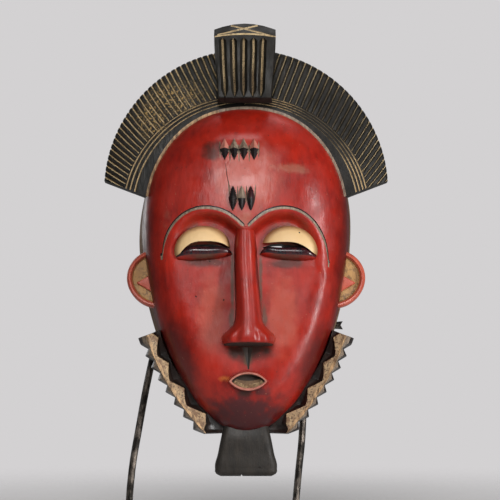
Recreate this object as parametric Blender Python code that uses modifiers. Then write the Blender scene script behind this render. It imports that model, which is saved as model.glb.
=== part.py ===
"""A carved wooden face mask with a comb crest, resting on a hand-forged iron stand.

Metres, +Z up, the face towards -Y, the floor at Z = 0 under the middle of the object.
The mask is carved in its own upright frame: X to the side, Z up from the bottom of the beard,
and the flat back rim in the plane Y = 0. The stand then leans that frame back a little.
"""

import math

import bmesh
import bpy
from mathutils import Matrix, Vector

MM = 0.001

# The mask's height, and the carver's unit: every carved size is a share of that height.
MASK_HEIGHT = 400 * MM
UNIT = MASK_HEIGHT / 400

# The egg of the face: half its width, and its reach above and below its widest line.
EGG_HALF_WIDTH = 90 * UNIT
EGG_RISE = 104 * UNIT
EGG_DROP = 184.5 * UNIT
EGG_LINE_Z = 221.6 * UNIT
EGG_POWER_UP = 2.15
EGG_POWER_DOWN = 1.85

# Depths of the face in front of the rim plane.
SIDE_DEPTH = 30 * UNIT
APEX_DEPTH = 74 * UNIT
DOME_POWER = 2.6
RIM_FLARE = 3 * UNIT
CHEEK_DEPTH = 60 * UNIT

# The hollow behind the face.
RIM_WALL = 14 * MM
HOLLOW_SIDE_DEPTH = 18 * UNIT
HOLLOW_APEX_DEPTH = CHEEK_DEPTH - 5 * UNIT

# Brow arches: the point between them, their crowns and their outer ends.
BROW_POINT_Z = EGG_LINE_Z - 6 * UNIT
BROW_CROWN = (34 * UNIT, 232.6 * UNIT)
BROW_END = (72.5 * UNIT, 191 * UNIT)

# Eyes.
EYE_X = 38 * UNIT
LID_Z = 195.8 * UNIT
LID_RADII = (25.5 * UNIT, 9 * UNIT, 21.5 * UNIT)
LID_UNDERSIDE = 0.3
LID_TILT = math.radians(9)
LID_PROUD = 0.83 * UNIT
LOWER_LID_Z = 191.8 * UNIT
LOWER_LID_RADII = (25.5 * UNIT, 11 * UNIT, 7 * UNIT)
SLIT_X = 34 * UNIT
SLIT_HALF_WIDTH = 20.5 * UNIT
SLIT_TOP_Z = 203 * UNIT
SLIT_HEIGHT = 3.9 * UNIT
SLIT_DROOP = 7 * UNIT

# Nose, as level sections from the brow point down: height, half base, half ridge, depth.
NOSE_SECTIONS = (
    (220, 3, 1.2, 71),
    (206, 7, 2.2, 73),
    (186, 10, 2.6, 74.5),
    (156, 10.6, 2.8, 79),
    (136.5, 11.6, 3.4, 83.5),
    (126.5, 15, 5, 86),
    (117.5, 24, 8, 87.5),
    (114, 22.5, 7, 85),
)
NOSE_ROOT_DEPTH = 52 * UNIT
PHILTRUM_Z = (89.5 * UNIT, 110.5 * UNIT)
PHILTRUM_WIDTH = 4.5 * UNIT

# Mouth.
MOUTH_Z = 79.8 * UNIT
MOUTH_RADII = (16.2 * UNIT, 7 * UNIT, 8.2 * UNIT)
MOUTH_SLOT = (11.5 * UNIT, 3.1 * UNIT)
MOUTH_SLOT_Z = MOUTH_Z + 1.8 * UNIT
MOUTH_SLOT_DEPTH = 9 * UNIT

# Scar marks: a row of faceted lozenges and, under it, a group of pointed ovals.
LOZENGE_XS = [x * UNIT for x in (-18.8, -10.3, -1.8, 7)]
LOZENGE_Z = 284 * UNIT
LOZENGE_RADII = (4.1 * UNIT, 5 * UNIT, 9 * UNIT)
OVAL_XS = [x * UNIT for x in (-11.6, -3.8, 4.2)]
OVAL_Z = 240.3 * UNIT
OVAL_RADII = (3.4 * UNIT, 4.6 * UNIT, 9.4 * UNIT)

# Ears: round plates with a sunk field and a raised triangle.
EAR_RADIUS = 26 * UNIT
EAR_X = EGG_HALF_WIDTH - 11 * UNIT
EAR_Z = 174 * UNIT
EAR_FRONT = 31 * UNIT
EAR_BACK = 15 * UNIT
EAR_RIM = 4.2 * UNIT
EAR_SINK = 5 * UNIT
EAR_MARK_X = EAR_X + 8.5 * UNIT
EAR_MARK_RADIUS = 9.5 * UNIT
EAR_MARK_RISE = 2.6 * UNIT

# Comb crest: its round edge, the inner edge of its grooved band, and its depths.
CREST_RADIUS = EGG_HALF_WIDTH + 36 * UNIT
CREST_CENTRE_Z = 252.5 * UNIT
CREST_INNER_Z = 233 * UNIT
CREST_INNER = (EGG_HALF_WIDTH + 19.5 * UNIT, EGG_LINE_Z + EGG_RISE + 10.5 * UNIT - CREST_INNER_Z)
CREST_START_ANGLE = math.radians(11.5)
CREST_LAST_ANGLE = math.radians(97)
CREST_END_Z = 261 * UNIT
CREST_END_SLOPE = math.tan(math.radians(21))
CREST_EDGE_DEPTH = 27 * UNIT
CREST_ROOT_DEPTH = 35 * UNIT
CREST_BACK_DEPTH = 8 * UNIT
GROOVE_DEPTH = 2 * UNIT
SCALLOP = 0.3
BORDER_STEP = 1.8 * UNIT
HAIR_CROWN_DEPTH = 40 * UNIT
# Each side of the comb: how far apart its grooves are along the edge, and their slant at the
# lock, half way and at the tip.
COMB_LEFT = (5.2 * UNIT, (22, 38, 66))
COMB_RIGHT = (6.05 * UNIT, (18, 29, 44))

# The hair lock over the forehead.
LOCK_BOTTOM = (23.8 * UNIT, EGG_LINE_Z + EGG_RISE + 3.4 * UNIT)
LOCK_TOP = (27.2 * UNIT, MASK_HEIGHT)
LOCK_SHOULDER_Z = 388 * UNIT
LOCK_DEPTH = 58 * UNIT
LOCK_TOP_DEPTH = 40 * UNIT
LOCK_CROWN = 5.5 * UNIT
LOCK_GROOVES = 5
LOCK_GROOVE_PITCH = 8.9 * UNIT
LOCK_GROOVE_WIDTH = 6 * UNIT
LOCK_GROOVE_DEPTH = 4 * UNIT
LOCK_GROOVE_Z = (333.5 * UNIT, 386 * UNIT)

# Toothed collar along the jaw. Each edge is a bend through three points, from ear to chin, given
# as shares of the face's half width and of its drop below its widest line.
COLLAR_TIPS = ((1.057, 0.545), (0.893, 0.765), (0.465, 1.01))
COLLAR_RIDGE = ((0.96, 0.531), (0.828, 0.772), (0.39, 0.995))
COLLAR_ROOT = ((0.844, 0.507), (0.733, 0.746), (0.156, 0.995))
COLLAR_TEETH = 8
TOOTH_DEPTH = 3.4 * UNIT
COLLAR_RIDGE_DEPTH = 41 * UNIT
COLLAR_EDGE_DEPTH = 29 * UNIT
COLLAR_ROOT_DEPTHS = (34 * UNIT, 40 * UNIT)
COLLAR_BACK_DEPTH = 9 * UNIT

# Beard block, as level sections: share of its height, half width, depth.
BEARD_TOP_Z = EGG_LINE_Z - EGG_DROP + 9 * UNIT
BEARD_SECTIONS = (
    (0, 22.5, 33),
    (0.033, 25.5, 35),
    (0.15, 27.2, 36.5),
    (0.43, 24.6, 38),
    (0.74, 21.8, 40),
    (1, 19, 38),
)
BEARD_BACK_DEPTH = 12 * UNIT

# The stand: bar sizes, the lean of the mask and its height over the floor.
LEAN = math.radians(5)
BEARD_OVER_FLOOR = 60 * MM
RIM_Y = 22 * MM
BAR_RADIUS = 3.1 * MM
CROSSBAR_SIZE = 6.2 * MM
FIT = 0.3 * MM
FOOT_LENGTH = 180 * MM
FOOT_WIDTH = 9 * MM
FOOT_HEIGHT = 7 * MM
FOOT_TAPER = 22 * MM
FOOT_TIP = 3 * MM
TIE_FROM_END = 28 * MM
TIE_Y = FOOT_LENGTH / 2 - TIE_FROM_END
HOOK_WIDTH = 6 * MM
HOOK_THICK = 6 * MM
HOOK_REACH = 14 * MM
HOOK_DROP = 26 * MM
# Where the bars run, in the mask's frame: across it and up it.
LEG_LEFT = ((-101.5, 5), (-95.5, 42), (-86, 93), (-72, 150), (-49, 214), (-24, 264))
LEG_RIGHT = ((46.8, 5), (49.8, 35), (50.8, 70), (49, 125), (42, 185), (29, 236), (18, 266))
LEG_LEFT_FOOT_X = -105.5 * UNIT
LEG_RIGHT_FOOT_X = 41.5 * UNIT
CROSSBAR_Z = 134.7 * UNIT
CROSSBAR_ENDS = (-80 * UNIT, 86.5 * UNIT)
FISHTAIL = 2 * MM
FISHTAIL_SPLAY = 0.4 * MM

DOME_SEGMENTS = 56
DOME_RINGS = 11
HOLLOW_SEGMENTS = 40
HOLLOW_RINGS = 7
OUTSIDE = 140 * UNIT

COLOURS = {
    "painted_wood": ((0.33, 0.02, 0.01), 0.42, 0.0),
    "forged_iron": ((0.028, 0.026, 0.024), 0.55, 1.0),
}


def collection(name):
    """A new collection under the scene."""
    made = bpy.data.collections.new(name)
    bpy.context.scene.collection.children.link(made)
    return made


def material(name):
    """One Principled material with the colour, roughness and metallic value of its kind."""
    colour, roughness, metallic = COLOURS[name]
    made = bpy.data.materials.new(name)
    made.use_nodes = True
    shader = made.node_tree.nodes["Principled BSDF"]
    shader.inputs["Base Color"].default_value = (*colour, 1.0)
    shader.inputs["Roughness"].default_value = roughness
    shader.inputs["Metallic"].default_value = metallic
    return made


def placed(name, mesh, where, matrix=None):
    """An object for a mesh, in its collection and at its place."""
    made = bpy.data.objects.new(name, mesh)
    where.objects.link(made)
    if matrix is not None:
        made.matrix_world = matrix
    return made


def from_bmesh(name, shape, where, matrix=None):
    """A closed mesh object, its faces turned outwards and split into triangles."""
    bmesh.ops.recalc_face_normals(shape, faces=shape.faces)
    bmesh.ops.triangulate(shape, faces=shape.faces)
    mesh = bpy.data.meshes.new(name)
    shape.to_mesh(mesh)
    shape.free()
    return placed(name, mesh, where, matrix)


def as_tool(made):
    """Marks an object as a shape that is only joined to or cut from another."""
    made.hide_render = True
    made.display_type = "WIRE"
    return made


def loft(name, rings, where):
    """A closed solid through rings with the same number of points, capped at both ends."""
    shape = bmesh.new()
    loops = [[shape.verts.new(point) for point in ring] for ring in rings]
    for lower, upper in zip(loops, loops[1:]):
        count = len(lower)
        for i in range(count):
            j = (i + 1) % count
            shape.faces.new((lower[i], lower[j], upper[j], upper[i]))
    shape.faces.new(loops[0])
    shape.faces.new(loops[-1])
    return from_bmesh(name, shape, where)


def flat_solid(name, outline, front, back, where):
    """An outline across and up the mask, as thick as from one depth to another."""
    curve = bpy.data.curves.new(name, "CURVE")
    curve.dimensions = "2D"
    curve.fill_mode = "BOTH"
    curve.extrude = (front - back) / 2
    spline = curve.splines.new("POLY")
    spline.points.add(len(outline) - 1)
    for point, (x, z) in zip(spline.points, outline):
        point.co = (x, z, 0, 1)
    spline.use_cyclic_u = True
    upright = Matrix.Translation((0, -(front + back) / 2, 0)) @ Matrix.Rotation(math.pi / 2, 4, "X")
    return meshed(placed(name, curve, where, upright))


def meshed(drawn):
    """The mesh that a curve object stands for, in its place, with its caps welded."""
    bpy.context.view_layer.update()
    evaluated = drawn.evaluated_get(bpy.context.evaluated_depsgraph_get())
    mesh = bpy.data.meshes.new_from_object(evaluated)
    shape = bmesh.new()
    shape.from_mesh(mesh)
    bmesh.ops.remove_doubles(shape, verts=shape.verts, dist=0.01 * MM)
    name, where, matrix = drawn.name, drawn.users_collection[0], drawn.matrix_world.copy()
    bpy.data.objects.remove(drawn)
    bpy.data.meshes.remove(mesh)
    return from_bmesh(name, shape, where, matrix)


def combine(target, tool, operation):
    """Joins a shape to the target, or cuts it out of the target."""
    step = target.modifiers.new(f"{operation.lower()}_{tool.name}"[:60], "BOOLEAN")
    step.operation = operation
    step.solver = "EXACT"
    step.object = as_tool(tool)


def egg(angle, share=1.0, inset=0.0):
    """A point across and up the face: round the egg by an angle, out from its middle by a share."""
    side, up = math.cos(angle), math.sin(angle)
    power = EGG_POWER_UP if up >= 0 else EGG_POWER_DOWN
    reach = EGG_RISE if up >= 0 else EGG_DROP
    x = math.copysign(abs(side) ** (2 / power), side) * (EGG_HALF_WIDTH - inset)
    z = math.copysign(abs(up) ** (2 / power), up) * (reach - inset)
    return x * share, EGG_LINE_Z + z * share


def egg_share(x, z):
    """How far out a point lies between the middle of the egg, 0, and its edge, 1."""
    up = z - EGG_LINE_Z
    power = EGG_POWER_UP if up >= 0 else EGG_POWER_DOWN
    reach = EGG_RISE if up >= 0 else EGG_DROP
    return ((abs(x) / EGG_HALF_WIDTH) ** power + (abs(up) / reach) ** power) ** (1 / power)


def dome_depth(share, side=SIDE_DEPTH, apex=APEX_DEPTH):
    """Depth of a dome in front of the rim plane, from its apex to its side wall."""
    return side + (apex - side) * math.sqrt(max(0.0, 1 - min(share, 1.0) ** DOME_POWER))


def face_depth(x, z):
    """Depth of the uncarved face at a point across and up it."""
    return dome_depth(egg_share(x, z))


def dome(name, segments, rings, inset, side, apex, flare, back, where):
    """A domed egg with a side wall that runs back past the rim plane by a distance."""
    shape = bmesh.new()
    bmesh.ops.create_uvsphere(shape, u_segments=segments, v_segments=rings * 2, radius=1)
    behind = [v for v in shape.verts if v.co.z < -0.001]
    bmesh.ops.delete(shape, geom=behind, context="VERTS")
    for v in shape.verts:
        share = min(math.hypot(v.co.x, v.co.y), 1.0)
        x, z = egg(math.atan2(v.co.y, v.co.x), share, inset)
        v.co = (x, -dome_depth(share, side, apex), z)
    edge = [e for e in shape.edges if e.is_boundary]
    wall = bmesh.ops.extrude_edge_only(shape, edges=edge)["geom"]
    middle = Vector((0, 0, EGG_LINE_Z))
    for v in (g for g in wall if isinstance(g, bmesh.types.BMVert)):
        v.co.y = back
        outward = (v.co - middle) * Vector((1, 0, 1))
        v.co += outward.normalized() * flare
    bmesh.ops.holes_fill(shape, edges=[e for e in shape.edges if e.is_boundary], sides=0)
    return from_bmesh(name, shape, where)


def ellipsoid(name, centre, radii, where, tilt=0.0, pitch=0.0, below=1.0, segments=20, rings=10):
    """A stretched ball with its poles up and down the mask, its lower half as tall as a share
    of the upper, tilted in the plane of the face and pitched with its slope."""
    shape = bmesh.new()
    bmesh.ops.create_uvsphere(shape, u_segments=segments, v_segments=rings, radius=1)
    for v in shape.verts:
        v.co.z *= below if v.co.z < 0 else 1
    place = (
        Matrix.Translation(centre)
        @ Matrix.Rotation(tilt, 4, "Y")
        @ Matrix.Rotation(pitch, 4, "X")
        @ Matrix.Diagonal((*radii, 1))
    )
    bmesh.ops.transform(shape, matrix=place, verts=shape.verts)
    return from_bmesh(name, shape, where)


def disc(name, centre_x, centre_z, radius, front, back, segments, where, turn=0.0):
    """A plate with a round or many-sided outline, between two depths."""
    shape = bmesh.new()
    bmesh.ops.create_cone(
        shape, cap_ends=True, segments=segments, radius1=radius, radius2=radius, depth=front - back
    )
    place = (
        Matrix.Translation((centre_x, -(front + back) / 2, centre_z))
        @ Matrix.Rotation(turn, 4, "Y")
        @ Matrix.Rotation(math.pi / 2, 4, "X")
    )
    bmesh.ops.transform(shape, matrix=place, verts=shape.verts)
    return from_bmesh(name, shape, where)


def brow_height(x):
    """Height of the brow edge at a distance from the middle of the face."""
    crown_x, crown_z = BROW_CROWN
    end_x, end_z = BROW_END
    x = abs(x)
    if x < crown_x:
        return crown_z - (crown_z - BROW_POINT_Z) * ((crown_x - x) / crown_x) ** 2
    beyond = min((x - crown_x) / (end_x - crown_x), 1.0)
    return end_z + (crown_z - end_z) * math.sqrt(1 - beyond**2)


def cheek_cutter(where):
    """What is cut away below the brows, down to the flat plane of the cheeks."""
    steps = 14
    end_x = BROW_END[0]
    half = [end_x * math.sin(math.pi / 2 * i / steps) for i in range(steps + 1)]
    right = [(x, brow_height(x)) for x in half]
    right += [(end_x + 6 * UNIT, 120 * UNIT), (40 * UNIT, 60 * UNIT)]
    left = [(-x, z) for x, z in reversed(right[1:])]
    return flat_solid("cheeks", right + left, OUTSIDE, CHEEK_DEPTH, where)


def nose(where):
    """The long narrow nose with its flared, flat-bottomed nostrils."""
    rings = []
    for height, base, ridge, depth in NOSE_SECTIONS:
        shoulder = (base * 0.78 + ridge * 0.22, NOSE_ROOT_DEPTH / UNIT * 0.3 + depth * 0.7)
        half = [(base, NOSE_ROOT_DEPTH / UNIT), shoulder, (ridge, depth)]
        across = half + [(-x, d) for x, d in reversed(half)]
        rings.append([(x * UNIT, -d * UNIT, height * UNIT) for x, d in across])
    return loft("nose", rings, where)


def slit_cutter(side, where):
    """The narrow drooping slit between the lids, cut right through the wall."""
    steps = 10
    top, bottom = [], []
    for i in range(steps + 1):
        along = -1 + 2 * i / steps
        x = side * (SLIT_X + along * SLIT_HALF_WIDTH)
        arch = SLIT_TOP_Z - SLIT_DROOP * along**2
        top.append((x, arch))
        bottom.append((x, arch - SLIT_HEIGHT * (1 - along**2)))
    return flat_solid(f"slit_{side}", top + bottom[-2:0:-1], OUTSIDE, 0, where)


def lids(mask, where):
    """Upper and lower lids on both sides."""
    for side in (-1, 1):
        lid = (side * EYE_X, -CHEEK_DEPTH - LID_PROUD, LID_Z)
        upper = ellipsoid(
            f"lid_{side}", lid, LID_RADII, where, side * LID_TILT, below=LID_UNDERSIDE
        )
        combine(mask, upper, "UNION")
        lower = (side * EYE_X, -CHEEK_DEPTH - LID_PROUD, LOWER_LID_Z)
        combine(mask, ellipsoid(f"lower_lid_{side}", lower, LOWER_LID_RADII, where), "UNION")


def mouth(mask, where):
    """Lips round a deep slot that doesn't go through."""
    depth = face_depth(0, MOUTH_Z)
    at = (0, -depth + 1.5 * UNIT, MOUTH_Z)
    lips = ellipsoid("lips", at, MOUTH_RADII, where, segments=16, rings=8)
    combine(mask, lips, "UNION")
    half, height = MOUTH_SLOT
    outline = []
    for i in range(16):
        angle = math.tau * i / 16
        outline.append((half * math.cos(angle), MOUTH_SLOT_Z + height * math.sin(angle)))
    slot = flat_solid("mouth_slot", outline, OUTSIDE, depth + 5 * UNIT - MOUTH_SLOT_DEPTH, where)
    combine(mask, slot, "DIFFERENCE")


def philtrum_cutter(where):
    """The narrow pointed groove between the nose and the mouth."""
    low, high = PHILTRUM_Z
    rings = []
    for z, share in ((low, 0.15), (high, 1.0)):
        depth = face_depth(0, z)
        depth = min(depth, CHEEK_DEPTH)
        half = PHILTRUM_WIDTH / 2 * share
        rings.append(
            [(-half, -depth - 6 * UNIT, z), (half, -depth - 6 * UNIT, z)]
            + [(half, -depth, z), (0, -depth + 3 * UNIT * share, z), (-half, -depth, z)]
        )
    return loft("philtrum", rings, where)


def scar_marks(mask, where):
    """The two groups of raised marks on the forehead."""
    groups = (
        ("lozenge", LOZENGE_XS, LOZENGE_Z, LOZENGE_RADII, 4, 2),
        ("oval", OVAL_XS, OVAL_Z, OVAL_RADII, 6, 4),
    )
    for kind, xs, z, radii, segments, rings in groups:
        _, half_depth, half_height = radii
        rise = face_depth(0, z - half_height) - face_depth(0, z + half_height)
        pitch = -math.atan2(rise, 2 * half_height)
        for i, x in enumerate(xs):
            at = (x, -face_depth(x, z) - half_depth * 0.15, z)
            mark = ellipsoid(
                f"{kind}_{i}", at, radii, where, pitch=pitch, segments=segments, rings=rings
            )
            combine(mask, mark, "UNION")


def ears(mask, where):
    """A round plate on each side, with a sunk field that holds a raised triangle."""
    for side in (-1, 1):
        x = side * EAR_X
        field = EAR_FRONT - EAR_SINK
        plate = disc(f"ear_{side}", x, EAR_Z, EAR_RADIUS, EAR_FRONT, EAR_BACK, 36, where)
        sunk = disc(f"ear_field_{side}", x, EAR_Z, EAR_RADIUS - EAR_RIM, OUTSIDE, field, 32, where)
        combine(plate, sunk, "DIFFERENCE")
        turn = math.pi / 2 * side
        mark = disc(
            f"ear_mark_{side}",
            side * EAR_MARK_X,
            EAR_Z - 4 * UNIT,
            EAR_MARK_RADIUS,
            field + EAR_MARK_RISE,
            field - 2 * UNIT,
            3,
            where,
            turn,
        )
        combine(plate, mark, "UNION")
        combine(mask, plate, "UNION")


def comb_inner(x, z, slant):
    """Where a groove that starts on the comb's edge meets the inner edge of the grooved band."""
    half_x, half_z = CREST_INNER
    step_x, step_z = -math.copysign(math.sin(slant), x), -math.cos(slant)
    up = z - CREST_INNER_Z
    a = (step_x / half_x) ** 2 + (step_z / half_z) ** 2
    b = 2 * (x * step_x / half_x**2 + up * step_z / half_z**2)
    c = (x / half_x) ** 2 + (up / half_z) ** 2 - 1
    reach = (-b - math.sqrt(max(b * b - 4 * a * c, 0.0))) / (2 * a)
    return x + reach * step_x, z + reach * step_z


def slant_at(slants, share):
    """Slant of the grooves at a share of the way from the lock to the tip, from three of them."""
    first, middle, last = slants
    if share < 0.5:
        return math.radians(first + (middle - first) * share * 2)
    return math.radians(middle + (last - middle) * (share * 2 - 1))


def comb(side, pitch, slants, where):
    """One side of the comb: a flat band whose front and edge rise and fall with its grooves."""
    rings = []
    grooves = round(CREST_RADIUS * (CREST_LAST_ANGLE - CREST_START_ANGLE) / pitch)
    for i in range(grooves * 2 + 1):
        share = i / (grooves * 2)
        angle = CREST_START_ANGLE + (CREST_LAST_ANGLE - CREST_START_ANGLE) * share
        sunk = GROOVE_DEPTH * (i % 2)
        radius = CREST_RADIUS - sunk * SCALLOP
        x, z = side * radius * math.sin(angle), CREST_CENTRE_Z + radius * math.cos(angle)
        in_x, in_z = comb_inner(x, z, slant_at(slants, share))
        deep_x, deep_z = in_x * 0.93, CREST_INNER_Z + (in_z - CREST_INNER_Z) * 0.93
        rings.append(
            [
                (deep_x, -CREST_BACK_DEPTH, deep_z),
                (x, -CREST_BACK_DEPTH, z),
                (x, -CREST_EDGE_DEPTH + sunk, z),
                (in_x, -CREST_ROOT_DEPTH + sunk, in_z),
                (deep_x, -CREST_ROOT_DEPTH + sunk, deep_z),
            ]
        )
    return loft(f"comb_{side}", rings, where)


def hair_band(where):
    """The plain rounded band of hair between the face and the grooved comb."""
    steps = 32
    low = math.radians(4)
    rings = []
    for i in range(steps + 1):
        angle = low + (math.pi - 2 * low) * i / steps
        out_x = CREST_INNER[0] * math.cos(angle)
        out_z = CREST_INNER_Z + CREST_INNER[1] * math.sin(angle)
        share = egg_share(out_x, out_z)
        in_x, in_z = out_x * 0.92 / share, EGG_LINE_Z + (out_z - EGG_LINE_Z) * 0.92 / share
        outer_front = CREST_ROOT_DEPTH + BORDER_STEP
        mid_x, mid_z = (out_x * 0.55 + in_x * 0.45), (out_z * 0.55 + in_z * 0.45)
        rings.append(
            [
                (in_x, -CREST_BACK_DEPTH, in_z),
                (out_x, -CREST_BACK_DEPTH - 1 * UNIT, out_z),
                (out_x, -outer_front, out_z),
                (mid_x, -HAIR_CROWN_DEPTH, mid_z),
                (in_x, -HAIR_CROWN_DEPTH + 2 * UNIT, in_z),
            ]
        )
    return loft("hair_band", rings, where)


def hair(mask, where):
    """The comb and its band, with both ends cut off in one flat slanted face."""
    band = hair_band(where)
    for side, (pitch, slants) in ((-1, COMB_LEFT), (1, COMB_RIGHT)):
        combine(band, comb(side, pitch, slants, where), "UNION")
    outside = CREST_RADIUS + 10 * UNIT
    inside = EGG_HALF_WIDTH * 0.7
    for side in (-1, 1):
        line = [(x, CREST_END_Z - (CREST_RADIUS - x) * CREST_END_SLOPE) for x in (outside, inside)]
        low = CREST_END_Z - CREST_RADIUS
        outline = [(side * x, z) for x, z in [*line, (inside, low), (outside, low)]]
        combine(band, flat_solid(f"crest_end_{side}", outline, OUTSIDE, 0, where), "DIFFERENCE")
    combine(mask, band, "UNION")


def lock(mask, where):
    """The block of hair over the forehead, with its bevelled top and upright grooves."""
    low_half, low_z = LOCK_BOTTOM
    top_half, top_z = LOCK_TOP
    rings = []
    sections = (
        (low_z, low_half - 1.5 * UNIT, LOCK_DEPTH - 7 * UNIT, 0),
        (low_z + 2 * UNIT, low_half, LOCK_DEPTH - 1.5 * UNIT, 0),
        (low_z + 5 * UNIT, low_half, LOCK_DEPTH, 0),
        (LOCK_SHOULDER_Z - 2 * UNIT, top_half - 0.4 * UNIT, LOCK_DEPTH - 5 * UNIT, 1 * UNIT),
        (top_z - LOCK_CROWN, top_half, LOCK_TOP_DEPTH, LOCK_CROWN),
    )
    across = (-1, -0.5, 0, 0.5, 1)
    for z, half, depth, crown in sections:
        front = [(half * s, -depth, z + crown * (1 - s * s)) for s in across]
        back = [(half * s, -CREST_BACK_DEPTH - 2 * UNIT, z + crown * (1 - s * s)) for s in across]
        rings.append(front + back[::-1])
    block = loft("lock", rings, where)
    bottom_z, groove_top = LOCK_GROOVE_Z
    for i in range(LOCK_GROOVES):
        x = (i - (LOCK_GROOVES - 1) / 2) * LOCK_GROOVE_PITCH
        combine(block, lock_groove(i, x, bottom_z, groove_top, where), "DIFFERENCE")
    combine(mask, block, "UNION")


def lock_groove(index, x, bottom_z, top_z, where):
    """One upright V groove of the lock, pointed at its bottom."""
    rings = []
    half = LOCK_GROOVE_WIDTH / 2
    front = LOCK_DEPTH + 2 * UNIT
    for z, wide, deep in ((bottom_z, 0.1, 0.1), (bottom_z + 6 * UNIT, 1, 1), (top_z, 1, 1)):
        share = (z - LOCK_BOTTOM[1]) / (LOCK_SHOULDER_Z - LOCK_BOTTOM[1])
        face = LOCK_DEPTH - 5 * UNIT * share
        reach = half * wide
        spread = reach * (front - face + LOCK_GROOVE_DEPTH) / LOCK_GROOVE_DEPTH
        point = (x, -face + LOCK_GROOVE_DEPTH * deep, z)
        rings.append([(x - spread, -front, z), (x + spread, -front, z), point])
    return loft(f"lock_groove_{index}", rings, where)


def bend(points, share):
    """A point on a bend through three points, at a share of the way along it."""
    weights = ((1 - share) ** 2, 2 * share * (1 - share), share**2)
    across = sum(w * p[0] for w, p in zip(weights, points))
    down = sum(w * p[1] for w, p in zip(weights, points))
    return across * EGG_HALF_WIDTH, EGG_LINE_Z - down * EGG_DROP


def collar(side, where):
    """The toothed collar of one jaw, with its ridge and the facets against the face."""
    stations = COLLAR_TEETH * 2
    rings = []
    for i in range(stations + 1):
        share = i / stations
        notch = TOOTH_DEPTH * (i % 2)
        tip_x, tip_z = bend(COLLAR_TIPS, share)
        ridge_x, ridge_z = bend(COLLAR_RIDGE, share)
        root_x, root_z = bend(COLLAR_ROOT, share)
        inward = Vector((ridge_x - tip_x, ridge_z - tip_z)).normalized() * notch
        tip_x, tip_z = tip_x + inward.x, tip_z + inward.y
        root_depth = COLLAR_ROOT_DEPTHS[i % 2]
        rings.append(
            [
                (side * root_x, -COLLAR_BACK_DEPTH, root_z),
                (side * tip_x, -COLLAR_BACK_DEPTH, tip_z),
                (side * tip_x, -COLLAR_EDGE_DEPTH, tip_z),
                (side * ridge_x, -COLLAR_RIDGE_DEPTH, ridge_z),
                (side * root_x, -root_depth, root_z),
            ]
        )
    return loft(f"collar_{side}", rings, where)


def beard(where):
    """The block under the chin."""
    rings = []
    corner, edge = 5 * UNIT, 4 * UNIT
    for share, half, depth in BEARD_SECTIONS:
        half, depth = half * UNIT, depth * UNIT
        right = [(half - corner, -depth), (half, -depth + edge), (half, -BEARD_BACK_DEPTH)]
        left = [(-x, y) for x, y in reversed(right)]
        rings.append([(x, y, share * BEARD_TOP_Z) for x, y in right + left])
    return loft("beard", rings, where)


def carve_mask(parts, tools):
    """The whole mask: one block, built up and cut in the order that it is carved."""
    mask = dome(
        "mask", DOME_SEGMENTS, DOME_RINGS, 0, SIDE_DEPTH, APEX_DEPTH, RIM_FLARE, 0, parts
    )
    combine(mask, cheek_cutter(tools), "DIFFERENCE")
    hair(mask, tools)
    for side in (-1, 1):
        combine(mask, collar(side, tools), "UNION")
    combine(mask, beard(tools), "UNION")
    lock(mask, tools)
    ears(mask, tools)
    lids(mask, tools)
    combine(mask, nose(tools), "UNION")
    combine(mask, philtrum_cutter(tools), "DIFFERENCE")
    mouth(mask, tools)
    scar_marks(mask, tools)
    hollow = dome(
        "hollow",
        HOLLOW_SEGMENTS,
        HOLLOW_RINGS,
        RIM_WALL,
        HOLLOW_SIDE_DEPTH,
        HOLLOW_APEX_DEPTH,
        0,
        RIM_WALL,
        tools,
    )
    combine(mask, hollow, "DIFFERENCE")
    for side in (-1, 1):
        combine(mask, slit_cutter(side, tools), "DIFFERENCE")
    return mask


def leaned(x, y, z):
    """A point of the mask's frame, in the frame of the whole object."""
    turned = Matrix.Rotation(-LEAN, 3, "X") @ Vector((x, y, z))
    return turned + Vector((0, RIM_Y, BEARD_OVER_FLOOR))


def bar(name, route, where):
    """A round forged bar along a smooth route of points."""
    curve = bpy.data.curves.new(name, "CURVE")
    curve.dimensions = "3D"
    curve.bevel_depth = BAR_RADIUS
    curve.bevel_resolution = 2
    curve.use_fill_caps = True
    curve.resolution_u = 4
    spline = curve.splines.new("BEZIER")
    spline.bezier_points.add(len(route) - 1)
    for point, at in zip(spline.bezier_points, route):
        point.co = at
        point.handle_left_type = "AUTO"
        point.handle_right_type = "AUTO"
    return meshed(placed(name, curve, where))


def legs(where):
    """The two legs, from their feet up behind the mask to the hook."""
    behind = FIT + BAR_RADIUS
    beside = HOOK_WIDTH / 2 + BAR_RADIUS + 2 * FIT
    top = hook_top() - HOOK_THICK
    made = []
    for name, foot_x, route in (
        ("stand_leg_left", LEG_LEFT_FOOT_X, LEG_LEFT),
        ("stand_leg_right", LEG_RIGHT_FOOT_X, LEG_RIGHT),
    ):
        side = math.copysign(1, foot_x)
        points = [leaned(x * UNIT, behind, z * UNIT) for x, z in route]
        points.append(leaned(side * (beside + 1 * MM), behind, top - HOOK_DROP * 0.5))
        points.append(leaned(side * beside, behind, top - 3 * MM))
        base = points[0].copy()
        base.x = foot_x
        base.z = FOOT_HEIGHT + FIT + BAR_RADIUS * math.sin(LEAN)
        base.y -= (points[0].z - base.z) * math.tan(LEAN)
        made.append(bar(name, [base] + points, where))
    return made


def hook_top():
    """Height in the mask's frame of the hook's top, just under the top wall of the hollow."""
    return EGG_LINE_Z + EGG_RISE - RIM_WALL - FIT - 0.6 * MM


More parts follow.
